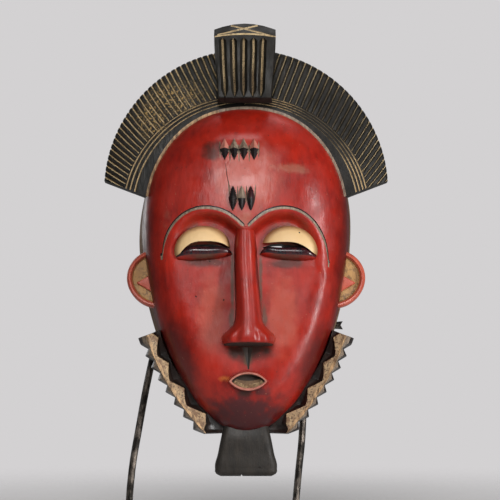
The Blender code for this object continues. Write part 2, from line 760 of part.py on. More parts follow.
def hook(where):
    """The bent flat bar that stands between the legs' tops and reaches into the hollow."""
    top = hook_top()
    behind = FIT + HOOK_THICK
    profile = [
        (FIT, top - HOOK_THICK - HOOK_DROP),
        (behind, top - HOOK_THICK - HOOK_DROP),
        (behind, top - 1.5 * MM),
        (behind - 1.5 * MM, top),
        (-HOOK_REACH, top),
        (-HOOK_REACH - 1 * MM, top - HOOK_THICK * 0.5),
        (-HOOK_REACH, top - HOOK_THICK),
        (FIT, top - HOOK_THICK),
    ]
    half = HOOK_WIDTH / 2
    rings = [[leaned(x, y, z) for y, z in profile] for x in (-half, half)]
    return loft("stand_hook", rings, where)


def crossbar(where):
    """The bar behind the jaw, each end split into a shallow fishtail."""
    near = FIT + 2 * BAR_RADIUS + FIT
    far = near + CROSSBAR_SIZE
    half = CROSSBAR_SIZE / 2
    left, right = CROSSBAR_ENDS
    low, high = CROSSBAR_Z - half, CROSSBAR_Z + half
    low_tip, high_tip = low - FISHTAIL_SPLAY, high + FISHTAIL_SPLAY
    outline = [
        (left, low_tip),
        (left + 2.5 * FISHTAIL, low),
        (right - 2.5 * FISHTAIL, low),
        (right, low_tip),
        (right - FISHTAIL, CROSSBAR_Z),
        (right, high_tip),
        (right - 2.5 * FISHTAIL, high),
        (left + 2.5 * FISHTAIL, high),
        (left, high_tip),
        (left + FISHTAIL, CROSSBAR_Z),
    ]
    sides = [[leaned(x, y, z) for x, z in outline] for y in (near, far)]
    return loft("stand_crossbar", sides, where)


def foot(name, x, where):
    """A floor runner, flat below, its ends drawn out thinner and narrower."""
    half = FOOT_WIDTH / 2
    end = FOOT_LENGTH / 2
    rings = []
    for y, wide, high in (
        (-end, 0.45, 0.45),
        (-end + FOOT_TIP, 0.8, 0.5),
        (-end + FOOT_TAPER, 1, 1),
        (end - FOOT_TAPER, 1, 1),
        (end - FOOT_TIP, 0.8, 0.5),
        (end, 0.45, 0.45),
    ):
        top = FOOT_HEIGHT * high
        inner = half * wide
        edge = min(1 * MM, top / 3)
        outline = [(-inner, 0), (inner, 0), (inner, top - edge), (inner - edge, top)]
        outline += [(-inner + edge, top), (-inner, top - edge)]
        rings.append([(x + across, y, z) for across, z in outline])
    return loft(name, rings, where)


def tie(where):
    """The bar across the floor from one runner to the other."""
    clear = FOOT_WIDTH / 2 + FIT
    left, right = LEG_LEFT_FOOT_X + clear, LEG_RIGHT_FOOT_X - clear
    shape = bmesh.new()
    bmesh.ops.create_cube(shape, size=1)
    size = (right - left, FOOT_WIDTH, FOOT_HEIGHT * 0.8)
    place = Matrix.Translation(((left + right) / 2, TIE_Y, size[2] / 2)) @ Matrix.Diagonal((*size, 1))
    bmesh.ops.transform(shape, matrix=place, verts=shape.verts)
    made = from_bmesh("stand_tie", shape, where)
    edges = made.modifiers.new("edges", "BEVEL")
    edges.width = 0.8 * MM
    edges.segments = 1
    return made


def build():
    """Clears the scene and makes every piece."""
    for old in list(bpy.data.objects):
        bpy.data.objects.remove(old)
    parts = collection("mask_on_stand")
    tools = collection("cutters")
    mask = carve_mask(parts, tools)
    mask.location = (0, RIM_Y, BEARD_OVER_FLOOR)
    mask.rotation_euler = (-LEAN, 0, 0)
    bpy.context.view_layer.update()
    for tool in tools.objects:
        tool.parent = mask
    mask.data.materials.append(material("painted_wood"))
    iron = material("forged_iron")
    stand = [*legs(parts), hook(parts), crossbar(parts), tie(parts)]
    stand.append(foot("stand_foot_left", LEG_LEFT_FOOT_X, parts))
    stand.append(foot("stand_foot_right", LEG_RIGHT_FOOT_X, parts))
    for piece in stand:
        piece.data.materials.append(iron)
        piece.data.shade_smooth()
        piece.data.set_sharp_from_angle(angle=math.radians(35))


build()
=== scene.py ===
"""A carved and painted wooden face mask on its hand-forged iron stand.

The mask is laid out in its own upright frame, in millimetres: X to the side, depth in front of the
flat back rim, and Z up from the bottom of the beard. The finished mesh is then leaned back onto
the stand and turned to metres.
"""

import math

import bpy
import numpy as np
from mathutils import Matrix, Vector, noise


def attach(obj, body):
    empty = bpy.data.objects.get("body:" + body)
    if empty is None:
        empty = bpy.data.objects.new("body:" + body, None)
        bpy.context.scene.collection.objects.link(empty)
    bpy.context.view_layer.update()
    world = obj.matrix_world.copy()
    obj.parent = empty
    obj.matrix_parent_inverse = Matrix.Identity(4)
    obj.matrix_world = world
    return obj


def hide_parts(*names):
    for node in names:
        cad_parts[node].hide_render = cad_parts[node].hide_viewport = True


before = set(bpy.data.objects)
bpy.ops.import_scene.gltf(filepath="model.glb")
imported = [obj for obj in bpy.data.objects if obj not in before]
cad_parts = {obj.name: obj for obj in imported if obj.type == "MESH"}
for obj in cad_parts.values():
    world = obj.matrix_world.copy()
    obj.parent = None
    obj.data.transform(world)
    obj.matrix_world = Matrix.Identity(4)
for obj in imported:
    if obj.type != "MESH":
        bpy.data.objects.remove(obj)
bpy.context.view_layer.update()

bl_info = {
    "name": "Carved Mask on a Forged Stand",
    "version": (1, 0, 0),
    "blender": (4, 5, 0),
    "location": "View3D > Sidebar > Carved Mask",
    "description": "Carves, paints and stages a wooden face mask on its iron stand",
    "category": "Add Mesh",
}

MM = 0.001

# The egg of the face, and its depths in front of the rim.
EGG_HALF_WIDTH = 90
EGG_RISE, EGG_DROP = 104, 184.5
EGG_LINE_Z = 221.6
EGG_POWER_UP, EGG_POWER_DOWN = 2.15, 1.85
SIDE_DEPTH, APEX_DEPTH, CHEEK_DEPTH = 30, 74, 60
DOME_POWER = 2.6
RIM_FLARE, RIM_WALL = 3, 14
HOLLOW_SIDE_DEPTH, HOLLOW_APEX_DEPTH = 18, 55
BARE_RIM_DEPTH = 12

# Brows of the left and right side: crown and outer end, each across and up.
BROWS = {-1: ((35.5, 236.6), (73, 194)), 1: ((33.8, 236.5), (72, 187.5))}
BROW_STEP, BROW_ROLL = 0.06, (2.5, 13.0)
BROW_DIP, BROW_DIP_WIDTH = 2.5, 13
# How far the brow's foot lies below its edge, and the two lines of its worn edge above it.
BROW_FOOT_GAP, BROW_EDGE_GAPS = 1.7, (0.4, 1.1)
# How far the beds of the scar marks are sunk in the forehead.
MARK_BED_DEPTH = 1.3

# The mask leans back on its stand.
LEAN = math.radians(5)
RIM_Y, BEARD_OVER_FLOOR = 22, 60
# What stands further forward than this hangs lower, so that it lies level when the mask leans.
HANG_FROM = 33

# Comb crest.
CREST_RADIUS, CREST_CENTRE_Z = 126, 252.5
CREST_INNER_Z, CREST_INNER = 233, (109.5, 103.1)
CREST_START, CREST_LAST = math.radians(11.5), math.radians(97)
CREST_END_Z, CREST_END_SLOPE = 261, math.tan(math.radians(21))
CREST_EDGE_DEPTH, CREST_ROOT_DEPTH, CREST_BACK_DEPTH = 27, 35, 8
# Each side of the comb: its grooves, and their slant at the lock, half way and at the end.
COMBS = {-1: (36, (22, 38, 66)), 1: (31, (18, 29, 44))}

# The camera: its place across and up, the plane it frames, and how much of that plane is seen.
CAMERA_X, CAMERA_HEIGHT, VIEW_PLANE_Y = 0.0035, 0.2608, -0.02
VIEW_WIDTH, SENSOR_WIDTH = 0.4363, 36

PAINTS = (
    "red_paint",
    "black_hair_and_shade",
    "groove_pigment",
    "lid_cream",
    "ear_ochre",
    "ear_salmon",
    "collar_tan",
    "collar_black_and_shade",
    "beard_black",
    "bare_wood",
    "lid_black",
    "worn_edge_and_highlight",
    "dark_dirt_and_shade",
    "scar_black",
    "pink_rubbed_and_highlight",
    "worn_cream",
)
PAINT = {name: i for i, name in enumerate(PAINTS)}


def linear(code):
    """A colour written as sRGB hex, as the linear values that Blender works in."""
    parts = [int(code[i : i + 2], 16) / 255 for i in (0, 2, 4)]
    return tuple(c / 12.92 if c <= 0.04045 else ((c + 0.055) / 1.055) ** 2.4 for c in parts)


def colour_prop(name, description, code):
    """A colour that the user can change, with its default from sRGB hex."""
    return bpy.props.FloatVectorProperty(
        name=name, description=description, subtype="COLOR", size=3, min=0, max=1, default=linear(code)
    )


class MaskSizes(bpy.types.PropertyGroup):
    """Sizes of the carving that a user would change."""

    spokes: bpy.props.IntProperty(
        name="Face spokes", description="Mesh lines from the brow point to the rim", default=180, min=60
    )
    groove_depth: bpy.props.FloatProperty(
        name="Comb groove depth", description="How deep the comb's grooves are cut", default=0.0017,
        min=0, unit="LENGTH",
    )
    tool_marks: bpy.props.FloatProperty(
        name="Tool marks", description="How far the carved surface wavers", default=0.00035,
        min=0, unit="LENGTH",
    )


class MaskColours(bpy.types.PropertyGroup):
    """Colours of the paints, the wood and the iron."""

    red: colour_prop("Red", "Red paint of the face", "961A0F")
    # Deep red is also painted shade at the temples, the jaws, the lower face, under the eyes and beside
    # the nose.
    red_deep_and_shade: colour_prop("Deep red", "Red paint where it is thick or dirty", "4A0905")
    # Worn red is also a painted sheen where the forehead and the cheeks face the light.
    red_worn_and_sheen: colour_prop("Worn red", "Red paint rubbed pale", "B4503C")
    grime: colour_prop("Grime", "Dirt that has settled in the hollows", "2E1A12")
    hair: colour_prop("Hair black", "Black stain of the hair", "100F0D")
    pigment: colour_prop("Groove pigment", "Pale clay left in the grooves", "CDB68E")
    cream: colour_prop("Lid cream", "Cream paint of the eyelids", "DDB985")
    ochre: colour_prop("Ear ochre", "Ochre field of the ears", "B98F58")
    salmon: colour_prop("Ear salmon", "Salmon red rim of the ears", "C9604A")
    tan: colour_prop("Collar tan", "Tan paint of the toothed collar", "B79A74")
    beard: colour_prop("Beard", "Dark stain of the beard block", "211E1B")
    wood: colour_prop("Bare wood", "Bare wood of the rim and the hollow", "7A5E45")
    iron: colour_prop("Iron", "Forged iron under its dark scale", "24211E")


class StageSettings(bpy.types.PropertyGroup):
    """Camera and light of the stage."""

    distance: bpy.props.FloatProperty(
        name="Camera distance", description="From the camera to the mask", default=2.4, min=0.5,
        unit="LENGTH",
    )
    light: bpy.props.FloatProperty(
        name="Light", description="Strength of the soft lights", default=1.0, min=0
    )


def add_node(tree, kind, settings=None, links=None):
    """Adds one node, sets its properties and input values, and links its inputs."""
    made = tree.nodes.new(kind)
    for key, value in (settings or {}).items():
        if isinstance(key, str) and hasattr(made, key):
            setattr(made, key, value)
        else:
            made.inputs[key].default_value = value
    for key, source in (links or {}).items():
        tree.links.new(source, made.inputs[key])
    return made


def new_material(name, roughness, metallic=0.0, specular=0.5):
    """A material with its shader and output, and its tree."""
    made = bpy.data.materials.new(name)
    made.use_nodes = True
    tree = made.node_tree
    tree.nodes.clear()
    shader = add_node(
        tree,
        "ShaderNodeBsdfPrincipled",
        {"Roughness": roughness, "Metallic": metallic, "Specular IOR Level": specular},
    )
    add_node(tree, "ShaderNodeOutputMaterial", links={"Surface": shader.outputs[0]})
    return made, tree, shader


def mask_place(tree):
    """Where a point of the mask lies in the mask's own upright frame, in millimetres."""
    point = add_node(tree, "ShaderNodeTexCoord")
    upright = add_node(
        tree,
        "ShaderNodeMapping",
        {
            "vector_type": "TEXTURE",
            "Location": (0, RIM_Y * MM, BEARD_OVER_FLOOR * MM),
            "Rotation": (-LEAN, 0, 0),
            "Scale": (MM, MM, MM),
        },
        {"Vector": point.outputs["Object"]},
    )
    return upright.outputs[0]


def speckle(tree, place, size, stretch=(1, 1, 1), detail=4, low=0.35, high=0.65, rough=0.55):
    """Uneven cover, 0 to 1, in patches of a size in millimetres, drawn out along an axis."""
    spread = add_node(
        tree,
        "ShaderNodeMapping",
        {"Scale": tuple(s / size for s in stretch)},
        {"Vector": place},
    )
    clouds = add_node(
        tree,
        "ShaderNodeTexNoise",
        {"Scale": 1.0, "Detail": detail, "Roughness": rough},
        {"Vector": spread.outputs[0]},
    )
    levels = add_node(
        tree,
        "ShaderNodeMapRange",
        {"From Min": low, "From Max": high},
        {"Value": clouds.outputs[0]},
    )
    return levels.outputs[0]


def blot(tree, place, centre, radii, softness, broken):
    """A soft-edged patch, 1 in its middle and 0 past its radii, its edge broken by noise."""
    across, depth, up = centre
    local = add_node(
        tree,
        "ShaderNodeMapping",
        {
            "vector_type": "TEXTURE",
            "Location": (across, -depth, hung(depth, up)),
            "Scale": radii,
        },
        {"Vector": place},
    )
    ball = add_node(
        tree, "ShaderNodeTexGradient", {"gradient_type": "SPHERICAL"}, {"Vector": local.outputs[0]}
    )
    value = ball.outputs["Fac"]
    ragged = speckle(tree, place, 9, detail=6, low=0.3, high=0.7)
    share = add_node(
        tree,
        "ShaderNodeMapRange",
        {"To Min": 1 - broken, "To Max": 1 + broken},
        {"Value": ragged},
    )
    value = stronger(tree, value, share.outputs[0], "MULTIPLY")
    edge = 0.02 + 0.4 * broken
    soft = add_node(
        tree,
        "ShaderNodeMapRange",
        {"interpolation_type": "SMOOTHSTEP", "From Min": edge, "From Max": edge + max(softness, 0.05)},
        {"Value": value},
    )
    return soft.outputs[0]


def stronger(tree, first, second, operation="MAXIMUM"):
    """Two covers combined into one."""
    return add_node(tree, "ShaderNodeMath", {"operation": operation}, {0: first, 1: second}).outputs[0]


def scaled(tree, cover, amount):
    """A cover thinned to a share of itself."""
    return add_node(
        tree, "ShaderNodeMath", {"operation": "MULTIPLY", 1: amount}, {0: cover}
    ).outputs[0]


def coat_over(tree, under, colour, cover):
    """A colour laid over what is under it, as thick as its cover."""
    over = add_node(tree, "ShaderNodeMix", {"data_type": "RGBA"}, {0: cover})
    for socket, value in ((6, under), (7, colour)):
        if isinstance(value, bpy.types.NodeSocket):
            tree.links.new(value, over.inputs[socket])
        else:
            over.inputs[socket].default_value = (*value, 1)
    return over.outputs[2]


def patch(tree, place, under, paint, thick, spots, softness, broken, speck_size=0):
    """A colour laid over what is under it in soft-edged patches, each a middle and its radii, and
    only in specks there where these have a size."""
    cover = None
    for centre, radii in spots:
        spot = blot(tree, place, centre, radii, softness, broken)
        cover = spot if cover is None else stronger(tree, cover, spot)
    if speck_size:
        specks = speckle(tree, place, speck_size, detail=5, low=0.52, high=0.6)
        cover = stronger(tree, cover, specks, "MULTIPLY")
    return coat_over(tree, under, paint, scaled(tree, cover, thick))


def carved_finish(tree, shader, place, height=0.25, size=3.0, sheen=(0.3, 0.5), stretch=(1, 1, 0.35)):
    """Fine unevenness, its height and size in millimetres, and a gloss between two roughnesses."""
    fine = speckle(tree, place, size, stretch, detail=6, low=0.2, high=0.8)
    bump = add_node(
        tree,
        "ShaderNodeBump",
        {"Strength": 0.5, "Distance": height * MM},
        {"Height": fine},
    )
    tree.links.new(bump.outputs[0], shader.inputs["Normal"])
    gloss = speckle(tree, place, 16, detail=3)
    rough = add_node(
        tree,
        "ShaderNodeMapRange",
        {"To Min": sheen[0], "To Max": sheen[1]},
        {"Value": gloss},
    )
    tree.links.new(rough.outputs[0], shader.inputs["Roughness"])


def red_patches(colours):
    """Patches on the red: a colour, how thick it lies, how broken its edge is, and its places."""
    return (
        # The forehead and the cheeks, rubbed pale and given a painted sheen where they face the light.
        (colours.red_worn_and_sheen, 0.6, 0.3, (
            ((0, 70, 262), (44, 40, 50)), ((-30, 62, 142), (20, 30, 54)),
            ((32, 62, 142), (22, 30, 54)),
        )),
        (linear("A02010"), 0.5, 0.4, (((-28, 58, 98), (22, 14, 24)), ((24, 60, 94), (18, 14, 16)))),
        # Painted shade in deep red: the temples, the jaws and the lower face where less light falls, the
        # downward faces under the eyes, and the flanks beside the nose.
        (colours.red_deep_and_shade, 0.85, 0.2, (
            ((-92, 25, 190), (32, 50, 150)), ((94, 25, 190), (38, 55, 160)),
            ((-62, 42, 96), (36, 40, 76)), ((64, 40, 92), (30, 40, 70)),
            ((-36, 68, 194), (27, 12, 6)), ((37, 68, 192.5), (27, 12, 6)),
            ((0, 45, 40), (80, 30, 50)), ((-9, 66, 165), (6, 9, 70)), ((10, 66, 165), (6, 9, 70)),
        )),
        # The chin, stained dark.
        (linear("38171A"), 0.8, 0.45, (((0, 55, 52), (60, 60, 44)), ((14, 60, 76), (16, 30, 9)))),
        # Dirt down both sides of the nose, dirt with painted shade round the eyes in their sockets,
        # painted shadow under the lower lids, and grime on the forehead and below the mouth.
        (linear("54382A"), 0.85, 0.4, (
            ((-11.8, 61, 166), (2.8, 12, 60)), ((12.8, 61, 170), (2.8, 12, 56)),
            ((-12.4, 61, 141), (4.6, 12, 18)), ((16.0, 61, 141), (4.6, 12, 18)),
            ((-38, 62, 205), (32, 30, 29)), ((38, 62, 205), (32, 30, 29)),
        )),
        (linear("451A12"), 0.8, 0.4, (((-36, 60, 188), (31, 12, 7)), ((37, 60, 186.5), (31, 12, 7)))),
        (colours.grime, 0.8, 0.45, (((-30, 66, 287), (18, 14, 15)), ((1.8, 62, 74), (20, 10, 6)))),
        # Painted shadow under the nose and on its underside, and a brown patch down the groove to the
        # mouth.
        (linear("25150D"), 0.95, 0.3, (((2, 60, 112), (34, 30, 17)), ((2, 84, 117), (30, 12, 3)))),
        (linear("4E3826"), 0.85, 0.4, (((1.8, 60, 105), (6, 14, 13)),)),
        # Ground showing between the brows, on the forehead and at the temple.
        (linear("A0705A"), 0.4, 0.6, (
            ((-1, 73, 226), (12, 12, 13)), ((40, 66, 270), (34, 14, 9)),
            ((-66, 50, 222), (12, 20, 26)),
        )),
        (linear("C9702E"), 0.75, 0.5, (((-18, 60, 86), (9, 12, 4.6)),)),
    )


def red_paint(colours):
    """Oil paint brushed on carved wood and rubbed by handling: satin, with painted shade in deep red at
    the temples, the jaws, the lower face and under the eyes, pale and pinkish where hands and cloth have
    worn it and where a painted sheen lies on the forehead and the cheeks, with dirt beside the nose, dirt
    and painted shade round the eyes, and painted shadow under the nose."""
    made, tree, shader = new_material("satin_red_oil_paint_on_carved_wood", 0.36, specular=0.42)
    place = mask_place(tree)
    streaks = speckle(tree, place, 6, (1, 1, 0.3), detail=7, rough=0.65)
    colour = coat_over(tree, colours.red, colours.red_deep_and_shade, scaled(tree, streaks, 0.55))
    clouds = speckle(tree, place, 26, detail=5)
    colour = coat_over(tree, colour, linear("B52A18"), scaled(tree, clouds, 0.5))
    for paint, thick, broken, spots in red_patches(colours):
        colour = patch(tree, place, colour, paint, thick, spots, 0.55, broken)
    specks = speckle(tree, place, 2.0, detail=2, low=0.68, high=0.73)
    colour = coat_over(tree, colour, colours.grime, scaled(tree, specks, 0.6))
    chips = speckle(tree, place, 1.6, detail=2, low=0.73, high=0.76)
    colour = coat_over(tree, colour, linear("C98A6A"), scaled(tree, chips, 0.5))
    tree.links.new(colour, shader.inputs["Base Color"])
    carved_finish(tree, shader, place, sheen=(0.28, 0.44))
    return made


def stained(name, base, over, cover, size, sheen, height=0.3, specular=0.5, patches=()):
    """A stain or thin paint on carved wood, uneven and rubbed through in places. Each patch is a
    colour, how thick it lies, how soft its edge is, the size of its specks, and its places."""
    stretch = (1, 1, 0.3)
    made, tree, shader = new_material(name, 0.5, specular=specular)
    place = mask_place(tree)
    clouds = speckle(tree, place, size, stretch, detail=6)
    colour = coat_over(tree, base, over, scaled(tree, clouds, cover))
    flecks = speckle(tree, place, size * 0.25, detail=4, low=0.58, high=0.68)
    colour = coat_over(tree, colour, over, scaled(tree, flecks, cover))
    for paint, thick, softness, speck_size, spots in patches:
        colour = patch(
            tree, place, colour, paint, thick, spots, softness, softness * 0.6, speck_size
        )
    tree.links.new(colour, shader.inputs["Base Color"])
    carved_finish(tree, shader, place, height=height, sheen=sheen, stretch=stretch)
    return made


def mask_materials(colours):
    """The paints of the mask, in the order of their slots."""
    lids = (((-38, 62, 198.6), (26.2, 99, 22.8)), ((38, 62, 198.6), (26.2, 99, 22.8)))
    all_of_comb = (((0, 30, 300), (160, 90, 160)),)
    all_of_collar = (((0, 40, 100), (160, 90, 160)),)
    lid_cream = ((colours.cream, 0.97, 0.22, 0, lids),)
    gold_places = (((-62, 38, 336), (40, 22, 22)), ((-84, 38, 316), (22, 22, 26)))
    gold_dust = ((linear("B08F56"), 0.8, 0.5, 1.7, gold_places),)
    dim_side = (
        (linear("4E4437"), 0.85, 0.5, 0, (((72, 32, 312), (50, 60, 52)),)),
        (linear("6B553A"), 0.8, 0.5, 0, (((-1, 55, 342), (32, 24, 26)),)),
        (linear("0D0C0B"), 0.8, 0.5, 1.3, all_of_comb),
    )
    speckled = (
        (linear("4A3726"), 0.85, 0.4, 1.6, all_of_collar),
        (linear("6A4A34"), 0.7, 0.4, 6, all_of_collar),
    )
    grimy = ((linear("5A3F28"), 0.7, 0.4, 3, (((0, 20, 165), (160, 90, 60)),)),)
    return (
        red_paint(colours),
        # Stain soaked into cut wood: near black and dull, with gold dust caught high on the left. The
        # same black is painted shade in the eye slits and under the upper lids.
        stained(
            "black_stained_hair_and_painted_shade", colours.hair, linear("2A251E"), 0.5, 5, (0.36, 0.6), 0.6,
            specular=0.22, patches=gold_dust,
        ),
        # Clay rubbed in by hand: pale and matt, dimmer on the right, with the black showing through.
        stained(
            "pale_clay_rubbed_into_grooves", colours.pigment, linear("8A7250"), 0.5, 5, (0.6, 0.8),
            patches=dim_side,
        ),
        # Clay paint with a wax sheen: warm cream on the lids, rubbed brown at their edges.
        stained(
            "cream_clay_paint_on_eyelids", linear("9A7048"), linear("6E4A2C"), 0.4, 5, (0.4, 0.6),
            patches=lid_cream,
        ),
        # Earth colour in clay: flat yellow-brown with dirt in its low places.
        stained(
            "ochre_clay_paint_in_ears", colours.ochre, linear("7A5230"), 0.5, 6, (0.5, 0.7),
            patches=grimy,
        ),
        # Thin oil paint on rounded rims: a soft pinkish red that dulls to brown.
        stained("salmon_oil_paint_on_ear_rims", colours.salmon, linear("8C2C20"), 0.5, 6, (0.35, 0.5)),
        # Clay paint on slanted facets: light tan, speckled where the wood shows through.
        stained(
            "tan_clay_paint_on_collar", colours.tan, linear("6E5038"), 0.7, 4, (0.5, 0.7),
            patches=speckled,
        ),
        # Stain polished by handling: black teeth with a low shine. The same black is painted shade on the
        # teeth's side walls and the foot of their outer slope.
        stained("black_stain_and_painted_shade_on_collar", colours.hair, linear("35231C"), 0.5, 6, (0.3, 0.5)),
        # Stain on end grain: brown-black, drier and more even than the hair.
        stained(
            "dark_stained_beard_block", colours.beard, linear("3A332C"), 0.5, 9, (0.45, 0.65), 0.5,
            specular=0.35,
        ),
        # Wood left as the adze cut it: matt grey-brown with darker grain.
        stained("bare_adzed_hardwood", colours.wood, linear("4A3524"), 0.7, 7, (0.6, 0.8)),
        # Glossier oil paint: blue-black that catches small lights, with red rubbed up into it.
        stained(
            "blue_black_paint_on_lower_lids", linear("14171D"), linear("6A1814"), 0.35, 3, (0.2, 0.34)
        ),
        # Paint worn off a sharp edge: broken dull pink-grey over the dark ground. On the brow rolls and
        # the marks' upper facets it is also painted highlight.
        stained(
            "rubbed_edges_and_painted_highlights", linear("9C8A76"), linear("3A221A"), 0.7, 2.5, (0.45, 0.7)
        ),
        # Soot and dirt out of reach of the hand, and painted shade under the nose, inside the upper lip
        # and in the cut groove, holes and cracks: deep matt brown.
        stained("dark_dirt_and_painted_shade", linear("1E1611"), linear("4A3526"), 0.4, 4, (0.6, 0.8)),
        # Thick glossy paint on cut facets: grey-black with crisp small lights.
        stained(
            "grey_black_paint_on_scar_marks", linear("131416"), linear("3A2420"), 0.35, 5, (0.22, 0.36)
        ),
        # Red rubbed thin over a light ground: a dusty pink on the lips, and painted highlight on the
        # upper facets of the two outer lozenges.
        stained("pink_rubbed_paint_and_painted_highlights", linear("C47C6C"), linear("7E4A3A"), 0.5, 4, (0.35, 0.5)),
        # Clay caught along a sharp ridge: bright cream, broken by dark nicks.
        stained("cream_clay_on_sharp_ridges", linear("D2AA7C"), linear("3E2C20"), 0.85, 2.5, (0.5, 0.7)),
    )


def forged_iron(colours):
    """Mild steel drawn out under the hammer and left with its scale: dark, dull, faintly mottled."""
    made, tree, shader = new_material("forged_iron_with_scale", 0.5, metallic=0.85)
    point = add_node(tree, "ShaderNodeTexCoord")
    spread = add_node(
        tree,
        "ShaderNodeMapping",
        {"Scale": (1 / MM,) * 3},
        {"Vector": point.outputs["Object"]},
    )
    place = spread.outputs[0]
    scale = speckle(tree, place, 6, (1, 1, 0.5), detail=5, low=0.45, high=0.6)
    colour = coat_over(tree, colours.iron, linear("857A70"), scaled(tree, scale, 0.55))
    tree.links.new(colour, shader.inputs["Base Color"])
    carved_finish(tree, shader, place, height=1.6, size=8, sheen=(0.38, 0.6), stretch=(1, 1, 0.6))
    return made


def flowing(keys, values, at):
    """Values at some places along a smooth curve that runs through key values."""
    keys, values, at = np.asarray(keys, float), np.asarray(values, float), np.asarray(at, float)
    if values.ndim == 1:
        values = values[:, None]
    slopes = np.gradient(values, keys, axis=0)
    i = np.clip(np.searchsorted(keys, at, side="right") - 1, 0, len(keys) - 2)
    span = (keys[i + 1] - keys[i])[:, None]
    t = (at - keys[i])[:, None] / span
    t2, t3 = t * t, t * t * t
    found = (
        (2 * t3 - 3 * t2 + 1) * values[i]
        + (t3 - 2 * t2 + t) * span * slopes[i]
        + (3 * t2 - 2 * t3) * values[i + 1]
        + (t3 - t2) * span * slopes[i + 1]
    )
    return found[:, 0] if found.shape[1] == 1 else found


def deselect():
    """Leaves nothing selected, in object mode."""
    bpy.ops.object.select_all(action="DESELECT")


def lay_skin(name, rows, paints, materials, capped=True):
    """A closed skin laid on rows of points, each row a loop of points (across, depth, up) in
    millimetres. Its faces take their paint from a table of the same rows."""
    rows = np.asarray(rows, float)
    around = rows.shape[1]
    paints = np.broadcast_to(np.asarray(paints), (len(rows) - 1, around))
    if capped:
        first, last = (np.repeat(rows[i].mean(0)[None, None], around, 1) for i in (0, -1))
        rows = np.concatenate([first, rows, last])
        paints = np.concatenate([paints[:1], paints, paints[-1:]])
    deselect()
    bpy.ops.mesh.primitive_grid_add(x_subdivisions=around, y_subdivisions=len(rows) - 1, size=1)
    made = bpy.context.object
    made.name = made.data.name = name
    loops = np.concatenate([rows, rows[:, :1]], 1)
    points = loops * np.array((1, -1, 1)) * MM
    made.data.vertices.foreach_set("co", points.reshape(-1))
    for material in materials:
        made.data.materials.append(material)
    corners = np.empty(len(made.data.polygons) * 4, np.int32)
    made.data.polygons.foreach_get("vertices", corners)
    lowest = corners.reshape(-1, 4).min(1)
    made.data.polygons.foreach_set(
        "material_index", paints[lowest // (around + 1), lowest % (around + 1)].astype(np.int32)
    )
    close_up(made)
    return made


def close_up(made):
    """Welds a shape's seam and poles, and turns its faces outwards."""
    deselect()
    made.select_set(True)
    bpy.context.view_layer.objects.active = made
    bpy.ops.object.mode_set(mode="EDIT")
    bpy.ops.mesh.select_all(action="SELECT")
    bpy.ops.mesh.remove_doubles(threshold=0.003 * MM)
    bpy.ops.mesh.normals_make_consistent(inside=False)
    bpy.ops.object.mode_set(mode="OBJECT")


def combine(target, tool, operation="UNION"):
    """Joins a shape to the target, or cuts it out of the target, and applies the step."""
    step = target.modifiers.new(tool.name, "BOOLEAN")
    step.operation = operation
    step.solver = "MANIFOLD"
    step.object = tool
    deselect()
    bpy.context.view_layer.objects.active = target
    bpy.ops.object.modifier_apply(modifier=step.name)
    bpy.data.objects.remove(tool)
    return target


def slice_off(shape, point, normal, paint):
    """Cuts a shape off flat on the side that the normal points to, and paints the cut."""
    deselect()
    shape.select_set(True)
    bpy.context.view_layer.objects.active = shape
    bpy.ops.object.mode_set(mode="EDIT")
    bpy.ops.mesh.select_all(action="SELECT")
    bpy.ops.mesh.bisect(
        plane_co=Vector(point) * MM, plane_no=normal, use_fill=True, clear_outer=True
    )
    bpy.ops.object.mode_set(mode="OBJECT")
    for face in shape.data.polygons:
        if face.select:
            face.material_index = paint


def egg(angle, share=1.0, inset=0.0):
    """Points across and up the face: round the egg by an angle, out from its middle by a share."""
    side, up = np.cos(angle), np.sin(angle)
    power = np.where(up >= 0, EGG_POWER_UP, EGG_POWER_DOWN)
    reach = np.where(up >= 0, EGG_RISE, EGG_DROP)
    x = np.sign(side) * np.abs(side) ** (2 / power) * (EGG_HALF_WIDTH - inset)
    z = np.sign(up) * np.abs(up) ** (2 / power) * (reach - inset)
    return x * share, EGG_LINE_Z + z * share


def egg_share(x, z):
    """How far out a point lies between the middle of the egg, 0, and its edge, 1."""
    up = np.asarray(z, float) - EGG_LINE_Z
    power = np.where(up >= 0, EGG_POWER_UP, EGG_POWER_DOWN)
    reach = np.where(up >= 0, EGG_RISE, EGG_DROP)
    return ((np.abs(x) / EGG_HALF_WIDTH) ** power + (np.abs(up) / reach) ** power) ** (1 / power)


def egg_angle(x, z):
    """The angle round the egg at which a point lies."""
    share = np.maximum(egg_share(x, z), 1e-6)
    up = z - EGG_LINE_Z
    power = np.where(up >= 0, EGG_POWER_UP, EGG_POWER_DOWN)
    reach = np.where(up >= 0, EGG_RISE, EGG_DROP)
    rise = np.sign(up) * (np.abs(up) / (reach * share)) ** (power / 2)
    return np.arctan2(rise, (np.abs(x) / (EGG_HALF_WIDTH * share)) ** (power / 2))


def dome_depth(share, side=SIDE_DEPTH, apex=APEX_DEPTH):
    """Depth of a dome in front of the rim plane, from its apex to its side wall."""
    return side + (apex - side) * np.sqrt(np.maximum(0.0, 1 - np.minimum(share, 1.0) ** DOME_POWER))


def smooth(value, low, high):
    """A soft step from 0 at the low value to 1 at the high one."""
    t = np.clip((value - low) / (high - low), 0, 1)
    return t * t * (3 - 2 * t)


def smooth_least(first, second, blend):
    """The lesser of two depths, rounded where they cross."""
    mix = np.clip(0.5 + 0.5 * (second - first) / blend, 0, 1)
    return first * mix + second * (1 - mix) - blend * mix * (1 - mix)


def hung(depth, up):
    """How high a point that stands forward of the rim ends up once it hangs forward and down."""
    return up - math.tan(LEAN) * np.maximum(depth - HANG_FROM, 0)


